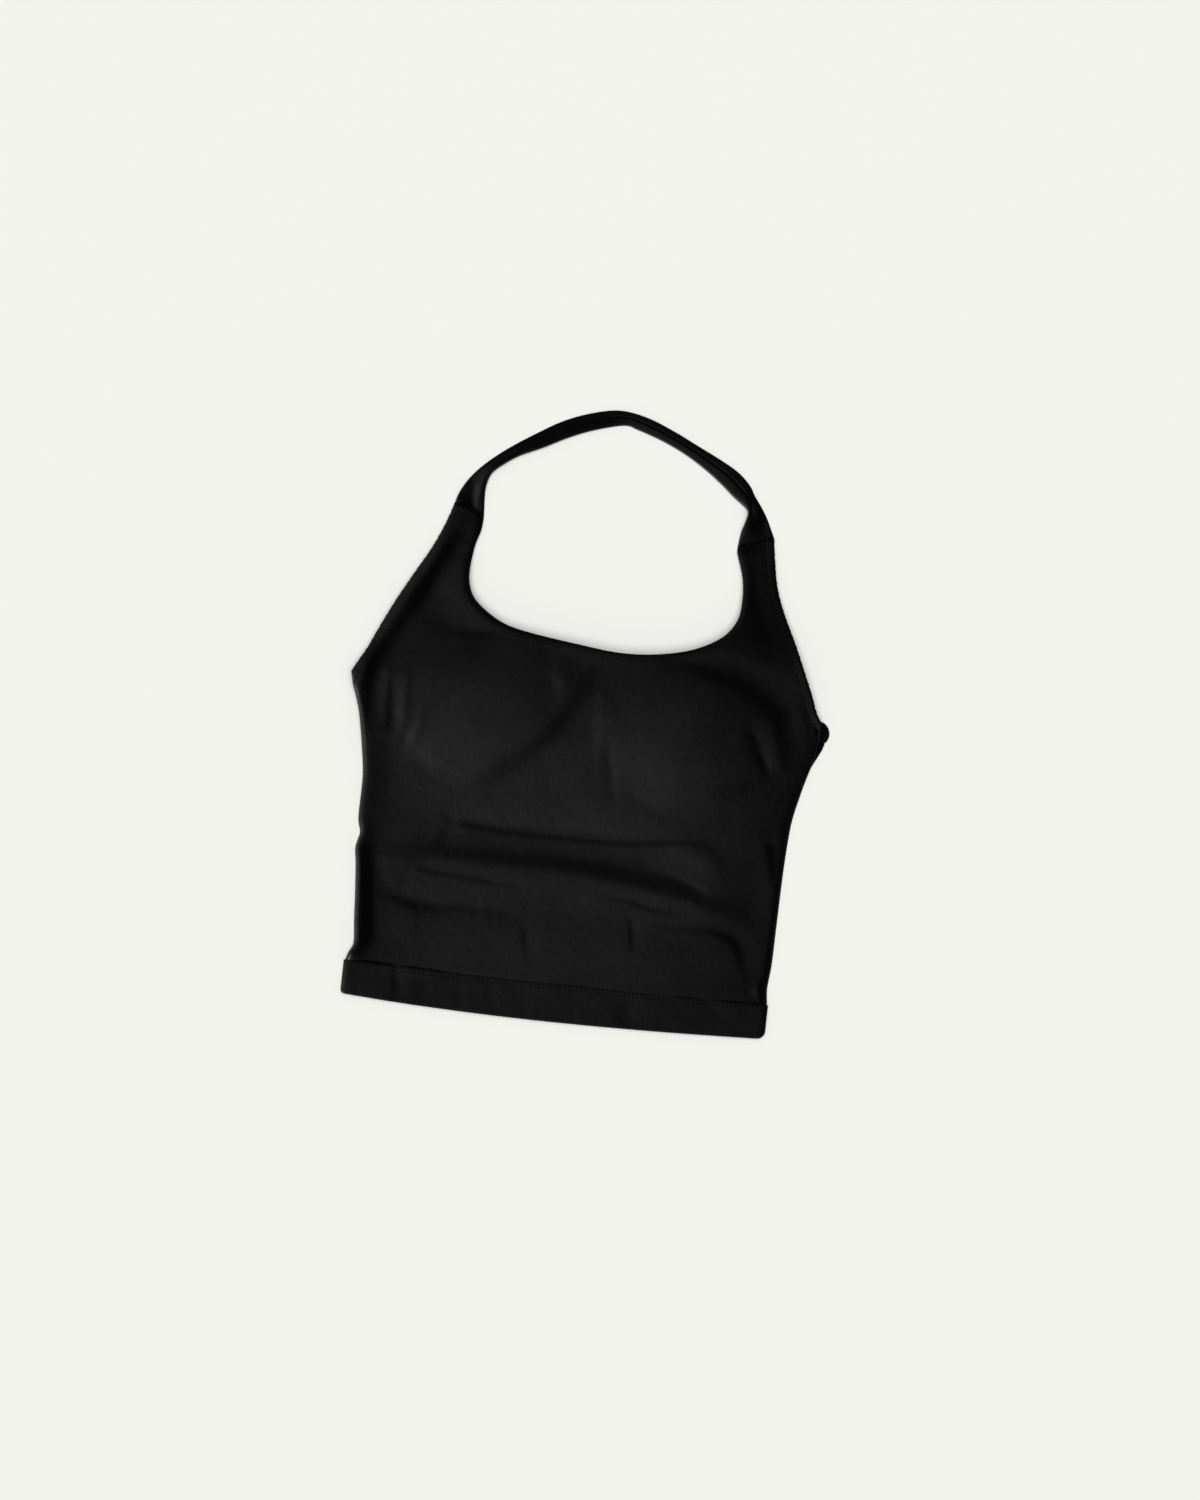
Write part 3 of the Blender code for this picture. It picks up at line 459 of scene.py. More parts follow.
# %% Folds beside the edges
EDGE_FOLDS = [
    # the left armhole: the cloth stands up beside the binding and sinks inside it
    Fold(6, 7, [(-106, 368, 0), (-113, 352, 1.7), (-121, 334.5, 2.5), (-130.5, 316, 2.7),
                (-143, 292, 2.7), (-154, 268.5, 2.5), (-160, 256.5, 2.4), (-166, 245, 2.2),
                (-169, 236, 1.6), (-167, 222, 0)]),
    Fold(14, 7, [(-104, 362, 0), (-108, 346, -1.3), (-113, 332, -1.9), (-121, 316, -2.1),
                 (-130, 298, -2.1), (-140, 282, -2.1), (-148, 268, -2.1), (-154, 256, -2.2),
                 (-158, 246, -2.3), (-159, 236, -2.3), (-159, 224, -2), (-158.5, 211, -1.4),
                 (-158, 196, 0)]),
    # the small knot low on the right side
    Fold(3, 3.4, [(148, 33, 0), (151.6, 36, 1.3), (152, 40, 0.6), (152, 46, 0)]),
    # the neckline's roll on the left arm, and the right arm's trough
    Fold(18, 4, [(-74, 288, 0), (-88, 298, 1.6), (-97, 310, 2), (-99.5, 324, 1.6),
                 (-98, 338, 0)]),
    Fold(8, 9, [(108, 366, 0), (114, 350, -0.9), (118, 332, -1.3), (123, 314, -1.1),
                (131, 298, -0.4), (140, 286, 0)]),
    # where the strap is sewn to the right arm, and where the hem is sewn on
    Fold(4, 6, [(97, 368.5, -1.2), (108, 370.5, -1.3), (116, 372, -0.8), (121, 373, 0)]),
    Fold(5, 5, [(-60, 25, 0), (-20, 25.2, 0.05), (30, 25.5, 0.05), (110, 25.8, 0.05),
                (128, 26, 0.08), (141, 26, 0.2), (153, 26, 0.35)]),
]

print(len(EDGE_FOLDS), "folds beside the edges")

# %% [markdown]
# The bust lifts the cloth as one broad form, highest in the middle. One table gives its height
# along the body, and two more say where it starts and is at its full height on either side.
# Each cup adds a soft dome of its own, and the left one ends at a crease.

# %% The bust and the cups
Cup = namedtuple("Cup", "name x y half_x half_y turn lift")
CUPS = table(Cup, [
    ("cup_left", -66, 222, 76, 60, 12, 3.2),
    ("cup_right", 85, 220, 72, 64, -10, 3.4),
])
Level = namedtuple("Level", "y z")
BUST = table(Level, [
    (26, 4.2), (46, 5.4), (66, 6.8), (120, 7), (137, 7.4), (145, 8.4), (160, 11), (180, 14),
    (200, 16.2), (215, 17.2), (230, 17.6), (245, 17.6), (262, 17.1), (280, 15.8), (295, 13),
    (308, 10.2), (322, 7.6), (336, 5.4), (350, 3.7), (364, 2.5), (376, 2.2),
])
BUST_LINE = spline(BUST, 2.0)
Flank = namedtuple("Flank", "y start full hover")  # x where the bust starts, and is at its full
LEFT_FLANK = table(Flank, [
    (26, -150, -56, 0), (110, -150, -52, 0), (150, -152, -40, 0.06), (185, -158, -30, 0.2),
    (210, -164, -28, 0.28), (230, -166, -28, 0.32), (250, -166, -30, 0.32), (268, -162, -34, 0.3),
    (285, -152, -44, 0.3), (310, -142, -66, 0.34), (340, -126, -80, 0.36), (380, -110, -76, 0.36),
])
RIGHT_FLANK = table(Flank, [
    (26, 168, 62, 0), (110, 168, 62, 0), (160, 170, 60, 0), (200, 176, 62, 0.04),
    (222, 178, 66, 0.14), (245, 178, 76, 0.36), (265, 174, 90, 0.52), (285, 165, 100, 0.6),
    (310, 151, 100, 0.6), (340, 140, 98, 0.6), (380, 130, 94, 0.6),
])
CREASE_LINE = spline([(20, 286), (9, 268), (-1, 250), (-12, 231), (-24, 213), (-38, 199),
                      (-55, 187), (-73, 173), (-96, 154)], 3)
CUP_FULLNESS = 2.3
CUP_RUN_OUT = 1.5


def cup_bulge(cup, x, y):
    """How far a cup lifts the cloth: a soft dome that runs out flat."""
    a = math.radians(cup.turn)
    across = ((x - cup.x) * math.cos(a) + (y - cup.y) * math.sin(a)) / cup.half_x
    up = (-(x - cup.x) * math.sin(a) + (y - cup.y) * math.cos(a)) / cup.half_y
    inside_share = np.clip(1 - np.hypot(across, up) ** CUP_FULLNESS, 0, 1)
    return cup.lift * inside_share**CUP_RUN_OUT


def flank_share(flank, x, y):
    """How much of the bust's height there is beside one flank."""
    line = spline(flank, 4.0)
    start, full, hover = (np.interp(y, line[:, 0], line[:, k]) for k in (1, 2, 3))
    return hover + (1 - hover) * smooth(x, start, full)


def past_crease(x, y):
    """How far past the left cup's edge crease points are, towards the middle."""
    side = np.interp(y, CREASE_LINE[::-1, 1], CREASE_LINE[::-1, 0])
    return np.where(x > side, 1, -1) * distance_to(CREASE_LINE, x, y)


print(f"bust up to {BUST_LINE[:, 1].max():.1f} mm high")


# %% [markdown]
# A fold's height falls away from its path like a bell, at its own pace on either side.

# %% Adding folds up
def fold_height(fold, x, y):
    """One soft ridge or trough along its path."""
    line = spline(fold.path, 4.0)
    best = np.full(x.shape, np.inf)
    side = np.zeros(x.shape)
    height = np.zeros(x.shape)
    for a, b in zip(line, line[1:]):
        dx, dy = b[:2] - a[:2]
        t = np.clip(((x - a[0]) * dx + (y - a[1]) * dy) / (dx * dx + dy * dy), 0, 1)
        away = np.hypot(x - a[0] - t * dx, y - a[1] - t * dy)
        nearer = away < best
        best = np.where(nearer, away, best)
        side = np.where(nearer, dx * (y - a[1]) - dy * (x - a[0]), side)
        height = np.where(nearer, a[2] + (b[2] - a[2]) * t, height)
    return height * np.exp(-((best / np.where(side > 0, fold.left, fold.right)) ** 2))


def all_folds(folds, x, y):
    """The sum of many folds, each worked out only near its own path."""
    total = np.zeros(x.shape)
    for fold in folds:
        path = np.array(fold.path)
        reach = 3 * max(fold.left, fold.right)
        near = (x > path[:, 0].min() - reach) & (x < path[:, 0].max() + reach)
        near &= (y > path[:, 1].min() - reach) & (y < path[:, 1].max() + reach)
        total[near] += fold_height(fold, x[near], y[near])
    return total


# %% [markdown]
# The height of the front's face adds all this up: the level it lies on, the slack cloth's
# swell, the bust, the cups and the folds. Then the sides roll down to the table, the left one
# after it has stood up in a crest.

# %% Height of the front
FRONT_WALL = 1.4
FLOOR_LEVEL = FRONT_WALL + 0.05
BODY_LEVEL = 3.4
BODY_PUFF = 3.6
ARM_PUFF = 1.3
FOLD_ROUNDING = 0.6  # softens a deep trough where it reaches the cloth below
SIDE_CREST = 3.8  # how far the left side stands up beside its edge
SIDE_LIFT = 2.6  # the roll's foot beside the armpit, on the back's binding
LEFT_ROLL, RIGHT_ROLL, RIGHT_ROLL_MORE = 4.0, 6.5, 2.5  # widths of the rolled sides
# Where the lie of the cloth changes: each pair is where a change starts and ends
BACK_STEP = (6, 34)  # past the back's top edge, where the front comes down to the table
FOLDS_START = (27, 66)
SWELL_STARTS, SWELL_ENDS = (8, 62), (196, 262)
ARMS_START = (262, 300)
NECK_CALM = (0, 16)  # folds and cups fade out over this distance to the neckline
CREST_STARTS, CREST_SINKS, CREST_ENDS = (23, 31), (96, 132), (204, 234)
ROLL_CLIMBS, ROLL_ENDS = (186, 208), (222, 240)


def left_at(y):
    """Where the left side is at a height on the body."""
    return np.interp(y, LEFT_LINE[:, 1], LEFT_LINE[:, 0])


def right_at(y):
    """Where the right side is at a height on the body."""
    return np.interp(y, RIGHT_LINE[:, 1], RIGHT_LINE[:, 0])


def front_height(x, y):
    """Height of the front's upper face above the table."""
    past_back = y - np.interp(x, BACK_TOP_LINE[:, 0], BACK_TOP_LINE[:, 1])
    level = BODY_LEVEL + (FLOOR_LEVEL - BODY_LEVEL) * smooth(past_back, *BACK_STEP)
    left, right = x - left_at(y), right_at(y) - x
    sides = smooth(left, -16, 46) * smooth(right, -6, 46)
    swell = 0.13 + 0.87 * smooth(y, *SWELL_STARTS) * sides
    puff = BODY_PUFF * swell * (1 - smooth(y, *SWELL_ENDS))
    bust = np.interp(y, BUST_LINE[:, 0], BUST_LINE[:, 1]) - level - puff
    bust = np.maximum(bust, 0) * flank_share(LEFT_FLANK, x, y) * flank_share(RIGHT_FLANK, x, y)
    neck = distance_to(NECK_LINE, x, y)
    arm = ARM_PUFF * smooth(y, *ARMS_START) * smooth(neck, 0, 4)
    left_cup, right_cup = (cup_bulge(cup, x, y) for cup in CUPS)
    left_cup = left_cup * (1 - 0.85 * smooth(past_crease(x, y), -7, 6))
    lift = left_cup + right_cup + smooth(y, *FOLDS_START) * all_folds(FOLDS, x, y)
    raised = puff + arm + lift * (0.3 + 0.7 * smooth(neck, *NECK_CALM))
    raised += all_folds(EDGE_FOLDS, x, y) + bust
    above = level + 0.5 * (raised + np.hypot(raised, FOLD_ROUNDING)) - 0.1
    return rolled(above + side_crest(left, y), x, y)


def side_crest(left, y):
    """How far the left side stands up, by the distance to its edge."""
    crest = SIDE_CREST * smooth(y, *CREST_STARTS) * (1 - 0.6 * smooth(y, *CREST_SINKS))
    crest *= 1 - smooth(y, *CREST_ENDS)
    inner = 8 - 2 * smooth(y, 48, 80) + 7 * smooth(y, 108, 140)
    top = 1.6 + 1.6 * smooth(y, 32, 46)
    return crest * np.exp(-((left - top) / np.where(left < top, 2.0, inner)) ** 2)


def rolled(above, x, y):
    """The height with the body's sides rolled down to the table, or to the back's binding."""
    foot = SIDE_LIFT * smooth(y, *ROLL_CLIMBS)
    left, right = x - left_at(y), right_at(y) - x
    body = 1 - smooth(y, *ROLL_ENDS)
    right_roll = RIGHT_ROLL + RIGHT_ROLL_MORE * smooth(y, 130, 150)
    turn = quarter_round(np.maximum(np.minimum(left / LEFT_ROLL, right / right_roll), 0))
    turn = turn + (1 - turn) * (1 - body)
    return foot + (above - foot) * turn


probe = front_height(np.array([-76.0, 0.0, 89.0]), np.array([222.0, 110.0, 212.0]))
print("height on the left cup, the slack cloth and the right cup:", np.round(probe, 1))

# %% [markdown]
# Black jersey looks a little paler where it is stretched over the cups, because its loops open.
# The next table and function paint more than that into its colour: painted light on faces that
# turn to the low light, and painted shade in creases, under the cups, along the sides and at the
# joins. They say how much: 0 as it was cut, above 0 paler, and below 0 darker. A row is a patch
# along a path, as a fold is, and each follows a fold, a cup or an edge.

# %% Stretch of the knit
PAINTED_SHADE_AND_LIGHT = [
    # painted shade along the long crease across the left cup, and painted light on the cloth on
    # both sides of it
    Fold(7.5, 6.5, [(9, 266, 0), (2, 254, -2), (-7, 237, -2.4), (-18, 217, -3.4), (-31, 202, -3),
                    (-46, 190, -2.4), (-60, 178, -2.4), (-86, 157, 0)]),
    Fold(10, 10, [(10, 248, 0), (12, 230, 1), (8, 206, 0.6), (-6, 184, 1), (-20, 168, 0)]),
    Fold(8, 8, [(86, 143, 0), (103, 137, 1.2), (112, 124, 1.2), (118, 112, 0)]),
    Fold(12, 12, [(-110, 172, 0), (-112, 152, 0.7), (-108, 128, 0.6), (-104, 116, 0)]),
    Fold(12, 10, [(-44, 284, 0), (-20, 277, 1.8), (2, 272, 1.4), (26, 274, 0)]),
    Fold(8, 8, [(-32, 272, 0), (-26, 260, 2.2), (-22, 248, 2.4), (-24, 236, 0.8), (-30, 226, 0)]),
    Fold(8, 8, [(-26, 272, 0), (-15, 267, 2), (-5, 267, 1.6), (6, 272, 0)]),
    # painted shade under the cups and along the left side
    Fold(22, 22, [(-98, 216, -0.6), (-78, 200, -1), (-58, 180, -0.9), (-52, 160, -0.8),
                  (-50, 146, 0)]),
    Fold(18, 18, [(26, 188, 0), (42, 176, -0.8), (60, 162, -0.7), (90, 158, -1.2), (112, 160, -1),
                  (128, 158, 0)]),
    Fold(20, 20, [(-142, 204, 0), (-142, 180, -0.8), (-142, 140, -0.8), (-138, 118, 0)]),
    # painted light on pale rims: a waist fold, and the outer sides of both cups
    Fold(8, 8, [(16, 102, 0), (40, 100, 1.2), (90, 94, 1.2), (112, 90, 0)]),
    Fold(4, 4, [(-140, 244, 0), (-140, 232, 1.6), (-140, 218, 1), (-134, 206, 1.4),
                (-127, 193, 1.6), (-116, 182, 1.2), (-102, 172, 0)]),
    Fold(4, 4, [(127, 238, 0), (135, 225, 1.6), (141, 208, 1.6), (145, 194, 0)]),
    # painted shade at the knot, both joins, the middle ridge and the right arm
    Fold(5, 5, [(160, 30, -1.6), (155, 37, -2.6), (156, 46, 0)]),
    Fold(12, 12, [(-92, 372, -3), (-96, 352, -2.4), (-99, 334, 0)]),
    Fold(6, 6, [(97, 366, -1.6), (106, 367, -2.2), (113, 369, -1.6), (118, 371, 0)]),
    Fold(6, 7, [(15, 211, 0), (17.5, 197, -1.6), (20, 184, -1.8), (22, 172, -1.4), (27, 158, 0)]),
    Fold(20, 18, [(118, 380, -2.6), (120, 362, -2.6), (124, 345, -2.5), (124, 322, -0.7),
                  (130, 302, 0)]),
    # painted shade along the left side and on the cloth just above the hem
    Fold(16, 17, [(-158, 28, -1.6), (-154, 50, -2.2), (-154, 80, -1.8), (-152, 130, -1.6),
                  (-153, 190, -2.2), (-160, 214, -1.4), (-166, 234, 0)]),
    Fold(20, 20, [(-136, 100, 0), (-132, 82, -1.5), (-132, 60, -1), (-130, 40, -1.6),
                  (-126, 20, -1)]),
    Fold(16, 16, [(-160, 30, -0.4), (-136, 34, -0.4), (-112, 34, -0.8), (-84, 32, 0)]),
    Fold(7, 7, [(-160, 22, -2.6), (-154, 31, -2.6), (-149, 42, -2.6), (-148, 60, -0.6),
                (-148, 72, 0)]),
    Fold(20, 20, [(56, 30, -0.3), (90, 34, -1.5), (120, 34, -2), (156, 34, -1.8)]),
    # painted shade on the shoulders, the armpits and the left armhole
    Fold(17, 17, [(-140, 316, 0), (-126, 290, -2.2), (-110, 280, -2.6), (-90, 276, -2.6),
                  (-70, 276, -1), (-58, 276, 0)]),
    Fold(12, 14, [(166, 262, 0), (173, 240, -1.6), (171, 220, -1.5), (163, 190, -1),
                  (157, 150, -1), (156, 120, 0)]),
    Fold(7, 6, [(-108, 358, 0), (-116, 342, -2.6), (-127, 318, -3), (-134, 301, -2.8),
                (-143, 287, -1), (-152, 274, -2.2), (-160, 257, -2.8), (-163, 240, -2.4),
                (-160, 216, 0)]),
    Fold(11, 11, [(120, 110, 0), (134, 100, -0.8), (141, 88, -0.7), (144, 70, 0)]),
    Fold(20, 20, [(-156, 262, 0), (-136, 268, -1), (-112, 268, -1.1), (-84, 260, -0.8),
                  (-56, 254, -0.4), (-40, 250, 0)]),
    # painted shade in wrinkles beside the cups, and in narrow strips along the right side
    Fold(3.6, 3, [(-146, 242, 0), (-145.5, 228, -2.4), (-144.5, 208, -2.4), (-143, 192, 0)]),
    Fold(2.8, 2.8, [(-126, 218, 0), (-129, 208, -1.2), (-134, 196, -1.2), (-138, 186, 0)]),
    Fold(3, 3, [(123, 228, 0), (128, 217, -1.5), (133, 208, -1.6), (139, 199, -1.3),
                (142, 190, 0)]),
    Fold(6, 5, [(131, 206, 0), (127, 194, -1.4), (123, 184, -1.2), (117, 177, 0)]),
    Fold(5, 5, [(114, 193, 0), (110, 185, -0.9), (104, 178, 0)]),
    Fold(6, 6, [(143, 250, 0), (147, 243, -1.4), (150, 232, -0.5), (154, 216, 0)]),
    Fold(9, 9, [(60, 276, 0), (80, 271, -0.4), (100, 266, -0.4), (118, 258, -0.5),
                (136, 250, -0.5), (150, 242, 0)]),
    Fold(6, 6, [(97, 362, -2.6), (108, 365, -2.6), (117, 367, 0)]),
    Fold(2.4, 2.4, [(155, 259, 0), (160, 250, -1.8), (165, 240, -2), (169, 230, -1.4),
                    (171, 222, 0)]),
    Fold(2.6, 3, [(159, 118, 0), (158.6, 100, -2.2), (158.4, 60, -2.2), (156, 38, -2.6),
                  (158.6, 26, -2)]),
    Fold(4, 4, [(149, 143, -1.2), (156, 142, -2.2), (158, 132, -2.2), (159, 120, 0)]),
    # painted light on the cloth between the waist's folds
    Fold(9, 9, [(58, 124, 0), (76, 128, 1.5), (96, 124, 1.8), (108, 112, 1), (116, 104, 0)]),
    Fold(9, 9, [(-70, 121, 0), (-30, 120, 0.9), (10, 120, 0.9), (44, 118, 0)]),
]


# the bust is paler from its stretch and from painted light, and the waist from painted light alone
BUST_STRETCH_AND_LIGHT, WAIST_PAINTED_LIGHT = 0.95, 1.1
BUST_STARTS, BUST_ENDS = (136, 160), (222, 286)
DARKEST_PAINTED_SHADE, PALEST_STRETCH_AND_LIGHT = -3.2, 2.8


def knit_stretch_and_painted_light(x, y):
    """How far the front's knit is stretched, with painted light and painted shade added to it."""
    left, right = x - left_at(y), right_at(y) - x
    bust_stretch_and_light = smooth(y, *BUST_STARTS) * (1 - 0.9 * smooth(y, *BUST_ENDS))
    bust_stretch_and_light *= BUST_STRETCH_AND_LIGHT * (0.05 + 0.95 * smooth(left, 12, 62) * smooth(right, 24, 110))
    painted_waist_light = WAIST_PAINTED_LIGHT * np.exp(-((x + 10) / 92) ** 4 - ((y - 78) / 36) ** 4)
    return np.clip(bust_stretch_and_light + painted_waist_light + all_folds(PAINTED_SHADE_AND_LIGHT, x, y), DARKEST_PAINTED_SHADE, PALEST_STRETCH_AND_LIGHT)


# a count of the patches of painted shade and painted light
print(len(PAINTED_SHADE_AND_LIGHT), "patches of painted shade and light")

# %% [markdown]
# ## Making cloth
#
# A panel's outline is filled with small triangles by a Delaunay triangulation, its points are
# lifted to the cloth's height, and a second layer one wall lower closes it to a thin shell.
# That follows any outline, and every fold gets enough points.

# %% Filling an outline
def triangulated(outline, inner):
    """Triangles that fill an outline and use the inner points."""
    count = len(outline)
    points = [Vector(p) for p in np.vstack([outline, inner])]
    edges = [(i, (i + 1) % count) for i in range(count)]
    made = delaunay_2d_cdt(points, edges, [], 1, 1e-4)
    return np.array([tuple(p) for p in made[0]]), [tuple(face) for face in made[2]]


def closed(outline):
    """An outline with its first point again at the end."""
    return np.vstack([outline, outline[:1]])


def inside(outline, x, y):
    """Whether points lie within a closed outline."""
    odd = np.zeros(x.shape, bool)
    for (ax, ay), (bx, by) in zip(outline, np.roll(outline, -1, axis=0)):
        if ay != by:
            crosses = (ay > y) != (by > y)
            odd ^= crosses & (x < ax + (y - ay) * (bx - ax) / (by - ay))
    return odd


def grid_inside(outline, step, clear):
    """Staggered rows of points inside an outline, clear of its edge."""
    low, high = outline.min(0), outline.max(0)
    found = []
    for row, y in enumerate(np.arange(low[1] + 0.5 * step, high[1], 0.87 * step)):
        xs = np.arange(low[0] + 0.5 * step * (row % 2), high[0], step)
        found.append(np.column_stack([xs, np.full(len(xs), y)]))
    found = np.vstack(found)
    found = found[inside(outline, found[:, 0], found[:, 1])]
    return found[distance_to(closed(outline), found[:, 0], found[:, 1]) > clear]


def edge_rows(line, distances, outline, clear=0.35):
    """Rows of points just inside an edge, where the cloth bends fastest."""
    rows = np.vstack([moved_in(line, d) for d in distances])
    keep = inside(outline, rows[:, 0], rows[:, 1])
    keep &= distance_to(closed(outline), rows[:, 0], rows[:, 1]) > clear
    return rows[keep]


def joined(*lines):
    """Lines end to end as one closed outline, with no point twice."""
    points = []
    for line in lines:
        for p in line:
            if not points or math.dist(p, points[-1]) > 0.05:
                points.append(tuple(p))
    if math.dist(points[0], points[-1]) < 0.05:
        points.pop()
    return np.array(points)


# %% [markdown]
# Every piece ends up as a mesh at the origin, with its place in its points. A loft joins rings
# of points, as for the hem and the strap; a thin shell closes a filled outline.

# %% From points to cloth
def loft_faces(rings, size, closes=True):
    """Four-sided faces from each ring of points to the next, and from the last to the first."""
    faces = []
    for ring in range(rings if closes else rings - 1):
        a, b = ring * size, (ring + 1) % rings * size
        faces += [(a + i, b + i, b + (i + 1) % size, a + (i + 1) % size) for i in range(size)]
    return faces


def add_piece(name, points, faces, finish):
    """A piece at the origin, from points in pattern millimetres."""
    place = np.array([*PLACE, 0.0])
    mesh = bpy.data.meshes.new(name)
    mesh.from_pydata([tuple(p) for p in (np.asarray(points) + place) * MM], [], faces)
    mesh.validate()
    mesh.update()
    mesh.shade_smooth()
    mesh.materials.append(finish)
    made = bpy.data.objects.new(name, mesh)
    scene.collection.objects.link(made)
    the_top.objects.link(made)
    return made


def set_painted_light_and_stretch(piece, share):
    """Store the knit's stretch, with painted light and painted shade, at each point of a piece."""
    points = np.empty(len(piece.data.vertices) * 3)
    piece.data.vertices.foreach_get("co", points)
    x, y = points.reshape(-1, 3)[:, :2].T / MM - np.array(PLACE)[:, None]
    kept = piece.data.attributes.new("painted_light_and_stretch", "FLOAT", "POINT")
    kept.data.foreach_set("value", share(x, y))


LEAN = 0.4  # how far the wall leans with a slope: 0 straight down, 1 square to the cloth


def thin_shell(name, outline, inner, height, wall, finish):
    """A closed wall of cloth whose upper face follows a height."""
    flat, faces = triangulated(outline, inner)
    top = np.column_stack([flat, height(flat[:, 0], flat[:, 1])])
    sheet = bpy.data.meshes.new("sheet")
    sheet.from_pydata([tuple(p) for p in top], [], faces)
    if sum(polygon.normal.z for polygon in sheet.polygons) < 0:
        faces = [tuple(reversed(face)) for face in faces]
        sheet.flip_normals()
    normals = np.array([tuple(v.normal) for v in sheet.vertices])
    bpy.data.meshes.remove(sheet)
    normals[:, :2] *= LEAN
    normals /= np.linalg.norm(normals, axis=1)[:, None]
    under = top - wall * normals
    under[:, 2] = np.maximum(under[:, 2], 0)
    count = len(top)
    used = set()
    for face in faces:
        used.update(zip(face, face[1:] + face[:1]))
    sides = [(a, a + count, b + count, b) for a, b in used if (b, a) not in used]
    lower = [tuple(i + count for i in reversed(face)) for face in faces]
    made = add_piece(name, np.vstack([top, under]), faces + lower + sides, finish)
    print(f"{name}: {len(faces) * 2 + len(sides) * 2} triangles")
    return made


# %% [markdown]
# ## The front
#
# The front ends just under the hem and under both armhole bindings, as it does in a sewn
# seam. Its neckline edge is turned under, so it ends in a small round roll instead of a raw
# cut. Rows of points beside the outline carry that roll and the rolled sides.

# %% Front cloth
BINDING_WIDTH = 6.5
FINE_STEP = 1.9
EDGE_STEP = 2.2
TUCK = 1.6  # how far the front goes under the hem and the bindings
TURNED_EDGE = 1.5  # how far in the neckline's round edge reaches
SIDE_ROWS, NECK_ROWS = [0.4, 1.0, 1.8, 3.0, 4.6], [0.4, 1.0, 1.8]  # distances from an edge
Armhole = namedtuple("Armhole", "name rows side out")
ARMHOLES = [
    Armhole("armhole_binding_left", LEFT_ARMHOLE, LEFT_LINE, -1),
    Armhole("armhole_binding_right", RIGHT_ARMHOLE, RIGHT_LINE, 1),
]


def armhole_edge(armhole, distance):
    """An armhole moved into the cloth, from where it meets the body's side to the join."""
    shifted = moved_in(edge_line(armhole.rows, EDGE_STEP), -armhole.out * distance)
    back = np.linspace(6.0, 0.0, 61)[:, None]
    tail = shifted[0] - (shifted[1] - shifted[0]) * back
    side = armhole.out * np.interp(tail[:, 1], armhole.side[:, 1], armhole.side[:, 0])
    within = tail[armhole.out * tail[:, 0] <= side]
    return np.vstack([respaced(within, EDGE_STEP), shifted[1:]])


def hem_seam(x):
    """Where the panels begin above the hem."""
    return np.interp(x, HEM_TOP_LINE[:, 0], HEM_TOP_LINE[:, 1]) + SEAM_GAP


def front_outline():
    """The front's edge: along the hem, up the right side and arm, the neckline, and back."""
    under = BINDING_WIDTH - TUCK
    left_arm, right_arm = (armhole_edge(armhole, under) for armhole in ARMHOLES)
    left, right = edge_line(LEFT_SIDE, EDGE_STEP), edge_line(RIGHT_SIDE, EDGE_STEP)
    left = left[left[:, 1] < left_arm[0, 1] - 1]
    right = right[right[:, 1] < right_arm[0, 1] - 1]
    xs = np.linspace(left[0, 0], right[0, 0], 150)
    hem = np.column_stack([xs, hem_seam(xs) - TUCK])
    neck = edge_line(NECKLINE, EDGE_STEP)
    return joined(hem, right[1:], right_arm, neck[::-1], left_arm[::-1], left[:0:-1])


def front_face(x, y):
    """The front's height, with the round turned edge along the neckline."""
    edge = quarter_round(distance_to(NECK_LINE, x, y) / TURNED_EDGE)
    return front_height(x, y) - 0.8 * (1 - edge)


front_edge = front_outline()
rows = np.vstack([
    edge_rows(edge_line(LEFT_SIDE, EDGE_STEP), SIDE_ROWS, front_edge),
    edge_rows(edge_line(RIGHT_SIDE, EDGE_STEP)[::-1], SIDE_ROWS, front_edge),
    edge_rows(edge_line(NECKLINE, EDGE_STEP), NECK_ROWS, front_edge),
])
inner = grid_inside(front_edge, FINE_STEP, 1.2)
near_side = np.minimum(inner[:, 0] - left_at(inner[:, 1]), right_at(inner[:, 1]) - inner[:, 0])
inner = inner[(near_side > 5.6) | (inner[:, 1] > 236)]
inner = inner[distance_to(NECK_LINE, inner[:, 0], inner[:, 1]) > 2.4]
front_cloth = thin_shell("front_cloth", front_edge, np.vstack([rows, inner]), front_face,
                         FRONT_WALL, black_jersey)
set_painted_light_and_stretch(front_cloth, knit_stretch_and_painted_light)

# %% [markdown]
# ## Bound armholes
#
# Each armhole is bound with folded elastic: a strip that wraps the raw edge. It is a little
# thicker than the cloth beside it, round on its outer fold, and its edge ripples slightly
# because the elastic was stretched when it was sewn.

# %% Armhole bindings
BINDING_WALL = 1.6
BINDING_CURL = {"armhole_binding_left": 0.3, "armhole_binding_right": 0.2}
BINDING_STEP = 1.4
BINDING_ROWS = (0.5, 1.1, 1.9, 3.1, 4.3, 5.2, 5.8, 6.15)  # distances from the outer fold
OUTER_ROUND, INNER_ROUND = 1.8, 1.2
RIPPLE, RIPPLE_LENGTH = 0.14, 4.2


def rippled(line, depth, length):
    """A line with a small uneven ripple along it."""
    along = lengths(line)
    wave = np.sin(2 * math.pi * along / length) + 0.6 * np.sin(2 * math.pi * along / length / 1.73)
    fade = smooth(along, 0, 8) * smooth(along[-1] - along, 0, 8)
    side = moved_in(line, 1.0) - line
    return line + side * (depth * wave * fade)[:, None]


